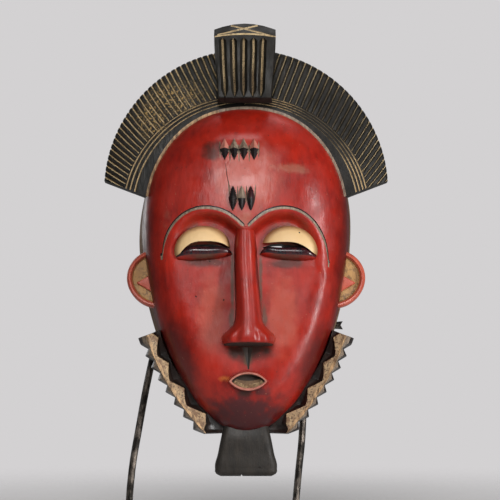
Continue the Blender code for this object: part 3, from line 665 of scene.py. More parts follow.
def waver(points, size, amount):
    """Slow unevenness left by the carver's tools, for points in millimetres."""
    flat = points.reshape(-1, 3) / size
    values = np.array([noise.noise(Vector(p)) for p in flat]) * amount
    return values.reshape(points.shape[:-1])


def brow_line(side, steps=90):
    """Points along one brow, from the point between the brows to its outer end."""
    (crown_x, crown_z), (end_x, end_z) = BROWS[side]
    x = end_x * np.sin(np.linspace(0, 1, steps) * math.pi / 2)
    beyond = np.clip((x - crown_x) / (end_x - crown_x), 0, 1)
    inner = crown_z - (crown_z - EGG_LINE_Z) * ((crown_x - x) / crown_x) ** 2
    outer = end_z + (crown_z - end_z) * np.sqrt(1 - beyond**2)
    return x, np.where(x < crown_x, inner, outer)


# Heights of the row of lozenges and of the row of ovals on the forehead.
MARKS_Z, OVALS_Z = 287.1, 243.9


def mark_bed(x, z):
    """The shallow bed that the forehead's row of marks is cut into, 1 inside and 0 outside."""
    up = z - MARKS_Z
    return (1 - smooth(np.abs(x + 5.8), 14, 24)) * (1 - smooth(up, 7, 16)) * smooth(up, -32, -8)


def ring_angles(share, brow, low_count, spokes):
    """Angles of one ring's points, up from the chin to the brow's foot, over the brow's edge and on
    to the crown, and the angle of the brow's foot."""
    reach = max(share * EGG_HALF_WIDTH, 3.0)
    foot = brow - BROW_FOOT_GAP / reach
    edge, top = (brow + gap / reach for gap in BROW_EDGE_GAPS)
    below_t = 1 - (1 - np.linspace(0, 1, low_count)) ** 1.35
    above_t = np.linspace(0, 1, spokes - low_count - 1)[1:] ** 1.25
    below = -math.pi / 2 + (foot + math.pi / 2) * below_t
    above = top + (math.pi / 2 - top) * above_t
    return np.concatenate([below, [brow, edge, top], above]), foot


def below_brow(angles, foot, share, end_share, low_count):
    """How far each point of a ring belongs to the sunk face, 1, or to the forehead, 0."""
    soft = np.interp(share, (end_share - 0.1, end_share + 0.03), (0.002, 0.35))
    under = smooth(foot + 1e-4 - angles, -soft * 0.02, soft)
    under[: low_count - 1] = np.maximum(under[: low_count - 1], share < end_share - 0.1)
    under[low_count - 1] = 1.0 if share < end_share - 0.05 else under[low_count - 1]
    under[low_count:] = 0
    return under


def face_half(side, shares, spokes):
    """One side of the face, as rings of points from the chin's middle line up to the crown's.
    Two close spokes of the mesh follow the brow, and make its crisp edge."""
    low_count = int(spokes * 0.6)
    x_line, z_line = brow_line(side)
    line_shares = egg_share(x_line, z_line)
    line_angles = egg_angle(x_line, z_line)
    line_shares[0], line_angles[0] = 0, line_angles[1]
    end_share = line_shares[-1]
    rings, paints = [], []
    for share in shares:
        brow = np.interp(share, line_shares, line_angles)
        angles, foot = ring_angles(share, brow, low_count, spokes)
        x, z = egg(angles, share)
        whole = dome_depth(share) * np.ones_like(x)
        sunk = smooth_least(whole, np.full_like(x, CHEEK_DEPTH), 5.0)
        gaps = np.hypot(x[:, None] - x_line, z[:, None] - z_line).min(1)
        roll = 1 - smooth(gaps, *BROW_ROLL)
        under = below_brow(angles, foot, share, end_share, low_count)
        lowered = sunk + (whole - sunk) * (1 - BROW_STEP) * roll
        depth = whole * (1 - under) + lowered * under
        if 0.03 < share < end_share:
            depth[low_count - 1 : low_count + 2] += (0.25, -0.7, -0.8)
        depth -= MARK_BED_DEPTH * mark_bed(side * x, z)
        dip = BROW_DIP * np.exp(-(x**2 + (z - EGG_LINE_Z) ** 2) / BROW_DIP_WIDTH**2)
        rings.append(np.stack([side * x, depth, z - dip], -1))
        shade = np.full(len(angles), PAINT["red_paint"])
        # Along the brow, a pale strip on top of the roll, wear and painted highlight, under the black of
        # the cut line.
        if 0.02 < share < end_share + 0.01:
            shade[low_count - 2 : low_count] = PAINT["worn_edge_and_highlight"]
            shade[low_count : low_count + 2] = PAINT["scar_black"]
        paints.append(shade)
    return np.array(rings), np.array(paints)


def face_front(sizes):
    """The front of the face as rings from its middle out to its edge, and their paints."""
    shares = np.concatenate([[0.0], np.linspace(0.012, 0.97, 104), [0.98, 0.988, 0.994, 0.998, 1.0]])
    right, right_paint = face_half(1, shares, sizes.spokes)
    left, left_paint = face_half(-1, shares, sizes.spokes)
    # The left half runs back down from the crown to the chin, without its two middle points.
    front = np.concatenate([right, left[:, -2:0:-1]], 1)
    paint = np.concatenate([right_paint[:, :-1], left_paint[:, :-1][:, ::-1]], 1)
    front[..., 1] += waver(front, 26, sizes.tool_marks / MM)
    front[..., 1] += waver(front, 7, sizes.tool_marks / MM * 0.25)
    return front, paint


def at_depth(ring, depth):
    """A ring of points brought to a depth."""
    ring[:, 1] = depth
    return ring


def face_sides(edge, outward):
    """Rings down the flared side of the face to its rim, and their paints. The left side swells
    more than the right."""
    bulge = np.where(edge[:, 0] < 0, 1 - smooth(np.abs(edge[:, 2] - 130), 70, 125), 0.15)[:, None]
    rings, shade = [], []
    for depth in (26, 22, 18, 15, BARE_RIM_DEPTH, 10, 8, 6, 4, 2.5, 1.2):
        share = 1 - depth / SIDE_DEPTH
        rings.append(at_depth(edge + outward * (RIM_FLARE * share + 3.5 * bulge * share**3), depth))
        kind = "red_paint" if depth >= BARE_RIM_DEPTH else "bare_wood"
        shade.append(np.full(len(edge), PAINT[kind]))
    return rings, shade


# Across the rim: how far in from the face's edge, and how far the rim is rounded there.
RIM_PROFILE = ((-2, 0.3), (0.5, 0), (3, 0), (7, 0), (11, 0), (13, 0.3), (14, 1.2))


def rim_and_hollow(edge, outward, middle):
    """Rings across the flat rim, up the wall of the hollow and over its dome to the middle."""
    rings = [at_depth(edge - outward * inset, depth) for inset, depth in RIM_PROFILE]
    inner = edge - outward * RIM_WALL
    rings += [at_depth(inner.copy(), depth) for depth in (5, 10, 14, HOLLOW_SIDE_DEPTH)]
    for share in (0.99, 0.97, 0.94, *np.linspace(0.9, 0.06, 22), 0.0):
        dome = dome_depth(share, HOLLOW_SIDE_DEPTH, HOLLOW_APEX_DEPTH)
        ring = at_depth(middle + (inner - middle) * share, dome)
        if share:
            ring[:, 1] += waver(ring[None], 16, 0.8)[0]
        rings.append(ring)
    return rings


def face_shell(sizes, materials):
    """The hollow face: its front, side wall, rim and hollow, as one closed skin."""
    front, paint = face_front(sizes)
    edge = front[-1]
    middle = np.array((0, 0, EGG_LINE_Z))
    outward = (edge - middle) * np.array((1, 0, 1))
    outward /= np.linalg.norm(outward, axis=1)[:, None]
    sides, side_paint = face_sides(edge, outward)
    rings = np.array([*front, *sides, *rim_and_hollow(edge, outward, middle)])
    shade = np.array([*paint[:-1], *side_paint])
    bare = np.full((len(rings) - 1 - len(shade), len(edge)), PAINT["bare_wood"])
    return lay_skin("carved_mask", rings, np.concatenate([shade, bare]), materials, capped=False)


def comb_inner(x, z, slant):
    """Where a groove from the comb's edge meets the inner edge of the grooved band."""
    half_x, half_z = CREST_INNER
    step_x, step_z = -math.copysign(math.sin(slant), x), -math.cos(slant)
    up = z - CREST_INNER_Z
    a = (step_x / half_x) ** 2 + (step_z / half_z) ** 2
    b = 2 * (x * step_x / half_x**2 + up * step_z / half_z**2)
    c = (x / half_x) ** 2 + (up / half_z) ** 2 - 1
    reach = (-b - math.sqrt(max(b * b - 4 * a * c, 0.0))) / (2 * a)
    return x + reach * step_x, z + reach * step_z


# One groove of the comb: place across its pitch, how far its front is sunk, 1 at the bottom.
GROOVE_PROFILE = (
    (0.0, 0.1), (0.1, -0.12), (0.34, -0.2), (0.58, -0.1), (0.66, 0.25),
    (0.72, 0.8), (0.8, 1.0), (0.88, 0.85), (0.95, 0.3),
)
# Each side of the comb: which part of a groove is pale, how deep its edge is notched, and its bow.
COMB_FINISH = {-1: ((0.7, 0.9), 0.35, 1.6), 1: ((0.76, 0.9), 0.12, 0.3)}
# Depths down the comb's outer edge, and how many points lie across its front.
COMB_EDGE_DEPTHS, COMB_STEPS = (13, 18, 22, 24.4), 24


def comb_loop(side, x, z, slant, depth, groove, bowed):
    """Points round the comb from a place on its edge: its back, its edge and its front, which a
    groove sinks by a depth and bows to the side."""
    in_x, in_z = comb_inner(x, z, slant)
    deep_x, deep_z = in_x * 0.93, CREST_INNER_Z + (in_z - CREST_INNER_Z) * 0.93
    out = np.array((x, z))
    inward = np.array((in_x, in_z)) - out
    loop = [(deep_x, CREST_BACK_DEPTH, deep_z), (x * 0.99, CREST_BACK_DEPTH, z * 0.995)]
    loop += [(x, d, z) for d in (CREST_BACK_DEPTH + 1, *COMB_EDGE_DEPTHS)]
    for t in np.linspace(0, 1, COMB_STEPS):
        t = t**1.2
        px, pz = out + inward * t
        bow = math.sin(t * math.pi) * bowed
        bow += 0.5 * noise.noise(Vector((groove * 0.9, t * 3.5, side * 2))) * smooth(t, 0, 0.1)
        front = CREST_EDGE_DEPTH + (CREST_ROOT_DEPTH - CREST_EDGE_DEPTH) * t
        front -= 1.4 * max(0, 1 - t * 12) ** 2
        front -= depth * smooth(t, -0.05, 0.04) * (1 - 0.5 * smooth(t, 0.93, 1.0))
        loop.append((px + side * bow * 0.8, front, pz + bow * 0.5))
    loop.append((deep_x, CREST_ROOT_DEPTH - 0.5, deep_z))
    return loop


def comb(side, sizes, materials):
    """One side of the comb, each groove cut with its own small slips."""
    grooves, slants = COMBS[side]
    pale, edge_notch, bowed = COMB_FINISH[side]
    depth_of_cut = sizes.groove_depth / MM
    front_first = 2 + len(COMB_EDGE_DEPTHS)
    loops, shades = [], []
    for groove in range(grooves + 1):
        slip = noise.noise(Vector((groove * 1.7, side * 3.1, 0))) * 0.2
        cut = depth_of_cut * (1 + 0.35 * noise.noise(Vector((groove * 2.3, side, 5))))
        for place, sunk in GROOVE_PROFILE if groove < grooves else GROOVE_PROFILE[:1]:
            share = (groove + place + slip * (0.5 - abs(place - 0.5))) / grooves
            angle = CREST_START + (CREST_LAST - CREST_START) * share
            depth = sunk * cut
            radius = CREST_RADIUS - max(depth, 0) * edge_notch
            x, z = side * radius * math.sin(angle), CREST_CENTRE_Z + radius * math.cos(angle)
            slant = math.radians(float(np.interp(share, (0, 0.5, 1), slants)))
            loops.append(comb_loop(side, x, z, slant, depth, groove, bowed))
            shade = np.full(len(loops[-1]), PAINT["black_hair_and_shade"])
            if pale[0] < place < pale[1]:
                shade[front_first : front_first + COMB_STEPS] = PAINT["groove_pigment"]
            shades.append(shade)
    made = lay_skin(f"comb_{side}", loops, np.array(shades[:-1]), materials)
    trim_crest(made, side)
    return made


def trim_crest(shape, side):
    """Cuts one end of the crest off in its flat slanted face."""
    normal = Vector((side * CREST_END_SLOPE, 0, -1)).normalized()
    slice_off(shape, (side * CREST_RADIUS, 0, CREST_END_Z), normal, PAINT["black_hair_and_shade"])


# Border lines of the hair band: shares of its width at which each one is cut.
BORDER_LINES = {-1: (0.06, 0.2, 0.36), 1: (0.05, 0.16, 0.28, 0.4)}
BORDER_LINE_HALF, BORDER_LINE_DEEP = 0.021, 1.0
# The hair band laps over the face down to this share of the egg.
BAND_LAP = 0.93


def band_stops(lines, edge, worn):
    """Places across the hair band: share of its width, how far it is sunk there, its paint. The
    band has as many places on the side with fewer lines."""
    stops = [(0.0, 0.0, "black_hair_and_shade")]
    for j in range(4):
        line = lines[j] if j < len(lines) else 0.44 + 0.01 * j
        real = j < len(lines)
        kind = "groove_pigment" if real else "black_hair_and_shade"
        stops += [(line - BORDER_LINE_HALF * real, 0, kind), (line, BORDER_LINE_DEEP * real, kind)]
        stops += [(line + (BORDER_LINE_HALF if real else 0.004), 0, "black_hair_and_shade")]
    stops += [(edge - 0.1, 0, "black_hair_and_shade"), (edge - 0.03, 0, "black_hair_and_shade"), (edge, 0, worn)]
    stops += [(edge + 0.1, 0, worn), (1.0, 0, worn)]
    return stops


def hair_band(materials):
    """The rounded band of hair between the face and the comb, with its incised border lines."""
    steps = 170
    low = math.radians(4)
    rings, shades = [], []
    for i in range(steps + 1):
        angle = low + (math.pi - 2 * low) * i / steps
        out = np.array((math.cos(angle), math.sin(angle))) * CREST_INNER + (0, CREST_INNER_Z)
        middle = np.array((0, EGG_LINE_Z))
        out_share = float(egg_share(*out))
        inner = middle + (out - middle) * BAND_LAP / out_share
        edge = (out_share - 1.004) / (out_share - BAND_LAP)
        lines = BORDER_LINES[1 if out[0] > 0 else -1]
        worn = "worn_cream" if out[0] < -25 else "worn_edge_and_highlight"
        ring, shade = [], []
        for t, sunk, kind in band_stops(lines, edge, worn):
            x, z = out + (inner - out) * t
            front = 36.6 + 3.6 * math.sin(min(t * 1.25, 1) * math.pi / 2) - 2.2 * smooth(t, 0.7, 1.0)
            ring.append((x, front - sunk, z))
            shade.append(PAINT[kind])
        ring += [(inner[0], CREST_BACK_DEPTH + 1, inner[1]), (out[0], CREST_BACK_DEPTH + 1, out[1])]
        shade += [PAINT["black_hair_and_shade"]] * 2
        rings.append(ring)
        shades.append(shade)
    made = lay_skin("hair_band", rings, np.array(shades[:-1]), materials)
    for side in (-1, 1):
        trim_crest(made, side)
    return made


def incise(target, line, width, deep, surface, paint, materials, fade=0.7):
    """Cuts a narrow V line along points across and up, into a surface whose depth is known. It
    grows thinner and shallower towards its ends by a share."""
    line = np.asarray(line, float)
    ahead = np.gradient(line, axis=0)
    ahead /= np.linalg.norm(ahead, axis=1)[:, None]
    clear = 1.2
    rows = []
    for i, ((x, z), (ahead_x, ahead_z)) in enumerate(zip(line, ahead)):
        share = 1 - fade * abs(2 * i / (len(line) - 1) - 1) ** 2
        front, cut = float(surface(x, z)), deep * share
        half = width / 2 * share * (1 + clear / cut)
        side_x, side_z = -ahead_z * half, ahead_x * half
        rows.append([
            (x - side_x, front + clear, z - side_z), (x + side_x, front + clear, z + side_z),
            (x, front - cut, z),
        ])
    combine(target, lay_skin("incision", rows, PAINT[paint], materials), "DIFFERENCE")


def ragged_line(start, end, count=12, sway=0.35):
    """Points from one place to another, each a little off the straight line."""
    points = np.linspace(start, end, count)
    for point in points:
        slips = [noise.noise(Vector((*point, seed))) for seed in (1, 7)]
        point += sway * np.array(slips)
    return points


# The hair lock: its middle, its half widths at its foot and above, and its foot.
LOCK_MIDDLE = -1.0
LOCK_FOOT_HALF, LOCK_HALF = 23.9, 27.2
LOCK_FOOT_Z = 329
LOCK_GROOVE_XS = (-19.8, -10.3, -1.1, 7.7, 16.1)
# Across one groove of the lock: how far from its middle, and its share of the full cut.
LOCK_GROOVE = (
    (-3.7, 0), (-3.3, 0), (-1.9, 0.45), (-0.9, 0.78), (0, 1), (0.9, 0.78), (1.9, 0.45), (3.3, 0),
    (3.7, 0),
)
LOCK_LEVELS = (329, 329.6, 331, 333, 333.6, 334.6, 336, 338, 340, *range(344, 384, 4), 384, 385.6, 386.2)
# The two lines cut into the lock's bevel, each from and to.
LOCK_LINES = (((-25.5, 389.2), (10.4, 398.4)), ((-13.5, 398.4), (23.4, 388.2)))


def lock_heights(x):
    """Where the lock's bevel begins and where its top lies, at a point across it."""
    across = min(abs((x - LOCK_MIDDLE) / LOCK_HALF), 1)
    return 386.4 + 2.2 * (1 - across**2), 394.4 + 5.4 * (1 - across**2)


def lock_bevel(x, z):
    """Depth of the lock's bevelled top at a point across and up it."""
    base, top = lock_heights(x)
    return 53.2 - 12.5 * max((z - base) / (top - base) - 0.16, 0)


def lock_loop(z):
    """Points round the lock at a height, with its five V grooves, and their paints."""
    share = (z - LOCK_FOOT_Z) / (388 - LOCK_FOOT_Z)
    half = LOCK_FOOT_HALF + (LOCK_HALF - LOCK_FOOT_HALF) * smooth(share, 0, 1)
    face = 58 - 5 * share - 6.5 * (1 - smooth(z, 328, 333.5))
    open_up = np.clip((z - 333.2) / 7, 0, 1) ** 0.75 * (1 - smooth(z, 385, 386.2))
    hair = PAINT["black_hair_and_shade"]
    front, paint = [(-half, face - 2.5, z), (-half + 0.9, face - 0.5, z)], [hair] * 2
    for i, x in enumerate(LOCK_GROOVE_XS):
        slip = 0.5 * noise.noise(Vector((i * 3.3, z * 0.06, 2)))
        for offset, cut in LOCK_GROOVE:
            wide = offset * max(open_up, 0.05) + slip * open_up
            front.append((x * half / LOCK_HALF + wide, face - 4 * cut * open_up, z))
            inside = -1 < offset < 0.5 and 334 < z < 386
            paint.append(PAINT["groove_pigment"] if inside else hair)
    front += [(half - 0.9, face - 0.5, z), (half, face - 2.5, z)]
    back = [(half, 10, z), (half - 1, 9, z), (-half + 1, 9, z), (-half, 10, z)]
    return [(x + LOCK_MIDDLE, d, h) for x, d, h in front + back], paint + [hair] * 6


def hair_lock(materials):
    """The block of hair over the forehead: five upright V grooves under a bevelled top."""
    rings, shades = zip(*map(lock_loop, LOCK_LEVELS))
    rings, shades = list(rings), list(shades)
    last = rings[-1]
    for t in (0.04, 0.1, 0.18, 0.3, 0.5, 0.7, 0.88, 1.0):
        ring = []
        for x, depth, _ in last:
            base, top = lock_heights(x)
            height = base + (top - base) * t
            notch = 0.8 if 0.05 < t < 0.15 else 0
            ring.append((x, min(depth, lock_bevel(x, height)) - notch, height))
        rings.append(ring)
        shades.append([PAINT["groove_pigment" if t < 0.17 else "black_hair_and_shade"]] * len(ring))
    rings.append([(x * 0.8, 10 + (d - 10) * 0.85, z + 0.5) for x, d, z in rings[-1]])
    made = lay_skin("hair_lock", rings, np.array(shades), materials)
    for start, end in LOCK_LINES:
        incise(made, ragged_line(start, end), 1.9, 0.9, lock_bevel, "groove_pigment", materials, 0.4)
    return made


# Sections up the nose: its base, its ridge, its depth, how far it leans to the right.
NOSE_KEYS = (118.4, 119.5, 122, 125, 128, 131, 134.5, 139, 146, 160, 178, 192, 206, 216, 226)
NOSE_VALUES = (
    (20.5, 4.0, 84.0, 2.1), (22.6, 4.0, 86.0, 2.1), (23.3, 3.4, 87.2, 2.1), (22.2, 3.0, 87.4, 2.1),
    (19.2, 2.7, 87.0, 2.2), (15.8, 2.5, 86.3, 2.3), (13.2, 2.4, 85.4, 2.3), (12.0, 2.3, 84.2, 2.3),
    (11.4, 2.1, 82.6, 2.2), (11.0, 2.0, 79.6, 1.4), (10.5, 1.9, 76.6, 0.3), (10.2, 1.8, 75.0, -0.3),
    (9.6, 1.8, 73.8, -0.6), (8.2, 1.6, 72.6, -0.6), (6.0, 1.4, 70.0, -0.6),
)
NOSE_FOOT_DEPTH = 57
# The flat underside falls by this much from the nose's tip back to the face.
NOSE_UNDERSIDE_FALL = 4.0


def nose(materials):
    """The long nose: a narrow ridge between rounded flanks, over round flat-bottomed nostrils."""
    heights = np.concatenate([[118.4, 118.6, 119.0, 119.7, 120.6], np.linspace(121.6, 226, 86)])
    values = flowing(NOSE_KEYS, NOSE_VALUES, heights)
    rings, shades = [], []
    for z, (base, ridge, depth, lean) in zip(heights, values):
        wing = float(smooth(base, 13, 22)) * float(smooth(z, 114, 122))
        half = [(base, NOSE_FOOT_DEPTH)]
        for angle in np.linspace(0.02, math.pi / 2, 24):
            x = ridge + (base - ridge) * math.cos(angle)
            fullness = 0.72 + 0.2 * wing
            out = NOSE_FOOT_DEPTH + (depth - NOSE_FOOT_DEPTH) * math.sin(angle) ** fullness
            out += wing * 2.4 * math.exp(-(((x / base) - 0.74) / 0.17) ** 2)
            out -= wing * 1.6 * math.exp(-(((x / base) - 0.42) / 0.13) ** 2)
            half.append((x, out))
        half += [(ridge * 0.55, depth + 0.25), (0, depth + 0.35)]
        loop = half + [(-x, d) for x, d in half[-2::-1]]
        fall = NOSE_UNDERSIDE_FALL * float(np.clip((121 - z) / 2.6, 0, 1))
        reach = depth - NOSE_FOOT_DEPTH
        rings.append([(x + lean, d, z - fall * min((depth - d) / reach, 1)) for x, d in loop])
        # The flat underside is painted dark: painted shade.
        shades.append(np.full(len(loop), PAINT["dark_dirt_and_shade" if z < 118.9 else "red_paint"]))
    return lay_skin("nose", rings, np.array(shades[:-1]), materials)


def rounded(
    name, centre, radii, paint, materials, tilt=0.0, pitch=0.0, below=1.0, segments=56, rings=28,
    upper=None, roundness=2.0,
):
    """A stretched ball, its lower half as tall as a share of the upper, tilted in the face's plane
    and pitched with its slope. Its upper half may have a paint of its own. A roundness of 2 is a
    ball, and 1 is a lozenge with flat facets."""
    deselect()
    bpy.ops.mesh.primitive_uv_sphere_add(segments=segments, ring_count=rings, radius=1)
    made = bpy.context.object
    made.name = name
    faces = made.data.polygons
    upper = paint if upper is None else upper
    kinds = [upper if face.center.z > 0 else paint for face in faces]
    points = np.array([v.co for v in made.data.vertices])
    points /= (np.abs(points) ** roundness).sum(axis=1)[:, None] ** (1 / roundness)
    points[:, 2] = np.where(points[:, 2] < 0, points[:, 2] * below, points[:, 2])
    points *= np.array(radii)
    turn = Matrix.Rotation(tilt, 3, "Y") @ Matrix.Rotation(pitch, 3, "X")
    turned = points @ np.array(turn).T
    turned += np.array((centre[0], -centre[1], centre[2]))
    made.data.vertices.foreach_set("co", (turned * MM).reshape(-1))
    for material in materials:
        made.data.materials.append(material)
    faces.foreach_set("material_index", kinds)
    return made


# Each eye: the height of its lid's lower edge, and how far and how steeply that edge falls to the
# outer and to the inner corner.
LID_FALLS = {-1: (206.5, (10.5, 3.0), (6.0, 3.0)), 1: (205.9, (8.4, 2.3), (1.4, 2.0))}
# The slit between the lids: its height, its slope going in, and the depth of its lip.
SLIT_HEIGHT, SLIT_SLOPE, SLIT_LIP_DEPTH = 4.7, 0.5, 66


def lid_edges(side, count=40):
    """The curves between the lids: across, the upper lid's lower edge, and the slit's lower edge."""
    along = np.linspace(-1, 1, count)
    x = side * 35.5 + 21.5 * along
    height, outer, inner = LID_FALLS[side]
    outward = along * side
    fall = np.where(
        outward > 0, outer[0] * np.abs(along) ** outer[1], inner[0] * np.abs(along) ** inner[1]
    )
    opening = np.clip(1 - ((along + 0.1 * side) / 0.9) ** 2, 0, 1) ** 0.7
    return x, height - fall, height - fall - SLIT_HEIGHT * opening


def slit(side, materials):
    """What is cut away between the lids: a slit that slopes down as it goes in, so that the inside
    stays dark, but for a gleam of light beside the nose on the right."""
    x, top, bottom = lid_edges(side)
    outline = np.concatenate([np.stack([x, top], -1), np.stack([x, bottom - 0.05], -1)[::-1]])
    gleam = smooth(outline[:, 0], 17, 21) * (1 - smooth(outline[:, 0], 30, 34))
    slope = SLIT_SLOPE - 0.2 * gleam
    rings = []
    for depth in (40, SLIT_LIP_DEPTH, 100):
        drop = slope * max(SLIT_LIP_DEPTH - depth, 0)
        depths = np.full(len(outline), depth)
        rings.append(np.stack([outline[:, 0], depths, outline[:, 1] - drop], -1))
    # The slit's walls are painted black: painted shade.
    return lay_skin("slit", rings, PAINT["black_hair_and_shade"], materials)


def under_lid(side, materials):
    """What is cut off the upper lid below its lower edge."""
    x, top, _ = lid_edges(side)
    left_fall, right_fall = (9, 1) if side < 0 else (1, 9)
    x = np.concatenate([[x[0] - 12], x, [x[-1] + 12]])
    top = np.concatenate([[top[0] - left_fall], top, [top[-1] - right_fall]])
    outline = np.concatenate([np.stack([x, top], -1), [(x[-1], 165), (x[0], 165)]])
    rings = [[(px, depth, pz) for px, pz in outline] for depth in (40, 100)]
    # The cut face under the upper lid is painted black: painted shade.
    return lay_skin("under_lid", rings, PAINT["black_hair_and_shade"], materials)


# Across the lower lid from its bottom to its top: share of its height, how far out, its paint.
LOWER_LID_PROFILE = (
    (0.0, 0.2, "red_paint"), (0.03, 2.8, "red_paint"), (0.15, 5.4, "red_paint"),
    (0.3, 7.0, "red_paint"), (0.42, 7.9, "lid_black"), (0.56, 8.5, "lid_black"),
    (0.7, 8.7, "lid_black"), (0.82, 8.2, "lid_black"), (0.91, 7.0, "lid_black"),
    (0.97, 5.0, "lid_black"), (1.0, 0.8, "lid_black"),
)


def lower_lid(side, materials):
    """The full lower lid: a lens whose black top edge runs along the slit."""
    count = 49
    along = np.linspace(-1, 1, count)
    x = side * 36.6 + 24.7 * along
    edge_x, _, slit_low = lid_edges(side)
    outward = (along * side + 1) / 2
    ends = 194.9 + (191.4 - 194.9) * outward
    swell = np.clip(1 - along**2, 0, 1)
    rise = np.interp(x, edge_x, slit_low, left=190, right=190)
    rise = np.where(np.abs(x - side * 35.5) < 20.5, rise + 0.4, 220)
    top = np.minimum(rise, ends + 0.2 + 11.5 * swell**0.6)
    low = ends - 3.3 * swell**0.7
    full = np.clip(1 - along**4, 0.02, 1) ** 0.5
    rows, shades = [], []
    for i in range(count):
        tall = max(top[i] - low[i], 0.3)
        row = [(x[i], 59.5 + out * full[i], low[i] + tall * t) for t, out, _ in LOWER_LID_PROFILE]
        row += [(x[i], 52, low[i] + tall), (x[i], 52, low[i])]
        rows.append(row)
        shades.append([PAINT[kind] for _, _, kind in LOWER_LID_PROFILE] + [PAINT["lid_black"]] * 2)
    return lay_skin("lower_lid", rows, np.array(shades[:-1]), materials)


def eyes(mask, materials):
    """Heavy lids over narrow pierced slits, with full lower lids."""
    for side in (-1, 1):
        tilt = side * math.radians(9)
        lid = rounded(
            "upper_lid", (side * 38, 60.6, 198.6), (24.6, 10, 21.2), PAINT["lid_cream"], materials,
            tilt, below=0.35,
        )
        combine(lid, under_lid(side, materials), "DIFFERENCE")
        for piece in (lid, lower_lid(side, materials)):
            combine(mask, combine(piece, hollow_room(materials), "DIFFERENCE"))


# The middle of the mouth, across and up.
MOUTH = (1.8, 84.4)
# Sections of the lips, from the face out over the rim and in: half width, half height, depth, how
# far each is lifted, the paint of its upper and of its lower half.
# Inside the mouth the upper half is painted dark: painted shade under the upper lip.
LIPS = (
    (16.5, 8.2, 57, 0, "red_paint", "red_paint"), (17.6, 8.9, 58.5, 0, "red_paint", "red_paint"),
    (17.9, 9.2, 60, 0, "red_paint", "red_paint"), (17.3, 8.7, 62.8, 0, "red_paint", "red_paint"),
    (16.7, 8.2, 64.3, 0, "pink_rubbed_and_highlight", "pink_rubbed_and_highlight"), (16.0, 7.6, 65.1, 0, "pink_rubbed_and_highlight", "pink_rubbed_and_highlight"),
    (15.2, 6.9, 65.1, 0, "pink_rubbed_and_highlight", "pink_rubbed_and_highlight"), (14.4, 6.1, 64.3, 0.1, "dark_dirt_and_shade", "collar_tan"),
    (13.6, 5.2, 62.4, 0.4, "dark_dirt_and_shade", "collar_tan"), (12.6, 3.9, 60.4, 1.4, "dark_dirt_and_shade", "bare_wood"),
    (11.4, 2.5, 58.6, 2.6, "dark_dirt_and_shade", "dark_dirt_and_shade"), (9, 1.2, 57.6, 3.0, "dark_dirt_and_shade", "dark_dirt_and_shade"),
)


def mouth_loop(half_width, half_height, depth, lift=0):
    """A loop of points round the mouth, pointed at its corners, and how high each one is in it."""
    angles = np.linspace(0, math.tau, 72, endpoint=False)
    across = half_width * np.cos(angles)
    up = half_height * np.sign(np.sin(angles)) * np.abs(np.sin(angles)) ** 1.6
    depths = np.full(len(angles), depth)
    return np.stack([across + MOUTH[0], depths, up + MOUTH[1] + lift], -1), up


# The groove under the nose: its top, how far it runs across and down, and its rows of points.
PHILTRUM_TOP, PHILTRUM_RUN, PHILTRUM_ROWS = (1.6, 113.6), (0.5, 19), 10


def philtrum(materials):
    """The groove from the nose down to the lips, which narrows and grows shallower."""
    rows = []
    for i in range(PHILTRUM_ROWS):
        x = PHILTRUM_TOP[0] + PHILTRUM_RUN[0] * i / (PHILTRUM_ROWS - 1)
        z = PHILTRUM_TOP[1] - PHILTRUM_RUN[1] * i / (PHILTRUM_ROWS - 1)
        wide, deep = 6.0 * (1 - i / 10) ** 1.3 + 0.9, 1.6 * (1 - i / 12)
        rows.append([
            (x - wide, 63, z), (x + wide, 63, z), (x + wide * 0.7, 60.2, z), (x, 60 - deep, z),
            (x - wide * 0.7, 60.2, z),
        ])
    # The groove is painted dark brown: dirt and painted shade.
    return lay_skin("philtrum", rows, PAINT["dark_dirt_and_shade"], materials)


def mouth(mask, materials):
    """Thin raised lips round a deep opening whose floor slopes up and in."""
    plug = [mouth_loop(14, 6.4, depth)[0] for depth in (50, 90)]
    combine(mask, lay_skin("mouth_plug", plug, PAINT["red_paint"], materials), "DIFFERENCE")
    rings, shades = [], []
    for half, high, depth, lift, over, under in LIPS:
        loop, up = mouth_loop(half, high, depth, lift)
        rings.append(loop)
        shades.append(np.where(up > -0.2 * high, PAINT[over], PAINT[under]))
    combine(mask, lay_skin("lips", rings, np.array(shades[:-1]), materials))
    combine(mask, philtrum(materials), "DIFFERENCE")


def brow_surface(x, z):
    """Depth of the uncarved forehead at a point across and up it."""
    return dome_depth(egg_share(x, z)) - MARK_BED_DEPTH * mark_bed(np.float64(x), np.float64(z))


# Rows of marks: places across, height, radii, segments and rings, roundness, paints above. The pale
# paints above are wear and painted highlight on the facets that face up.
SCAR_ROWS = (
    ((-18.6, -10.3, -2.0, 7.1), MARKS_Z, (4.9, 4.6, 10.2), (4, 4), 1,
     ("pink_rubbed_and_highlight", "worn_edge_and_highlight", "worn_edge_and_highlight", "pink_rubbed_and_highlight")),
    ((-11.4, -3.7, 4.2), OVALS_Z, (3.9, 3.9, 11), (12, 12), 1.3,
     ("scar_black", "worn_edge_and_highlight", "lid_black")),
)
# Scratches between the marks: place across, middle height, how far each leans to the right.
SCRATCHES = (
    (-22.9, MARKS_Z, 0.3), (-14.4, MARKS_Z - 3, 0.4), (-6.1, MARKS_Z - 3, -0.2),
    (2.6, MARKS_Z - 3, 0.3), (11.4, MARKS_Z, -0.5), (-15.4, OVALS_Z + 9, 1.5),
    (-7.5, OVALS_Z + 4, 0.2), (0.3, OVALS_Z + 4, 0.2), (8.2, OVALS_Z + 5, -1.0),
)


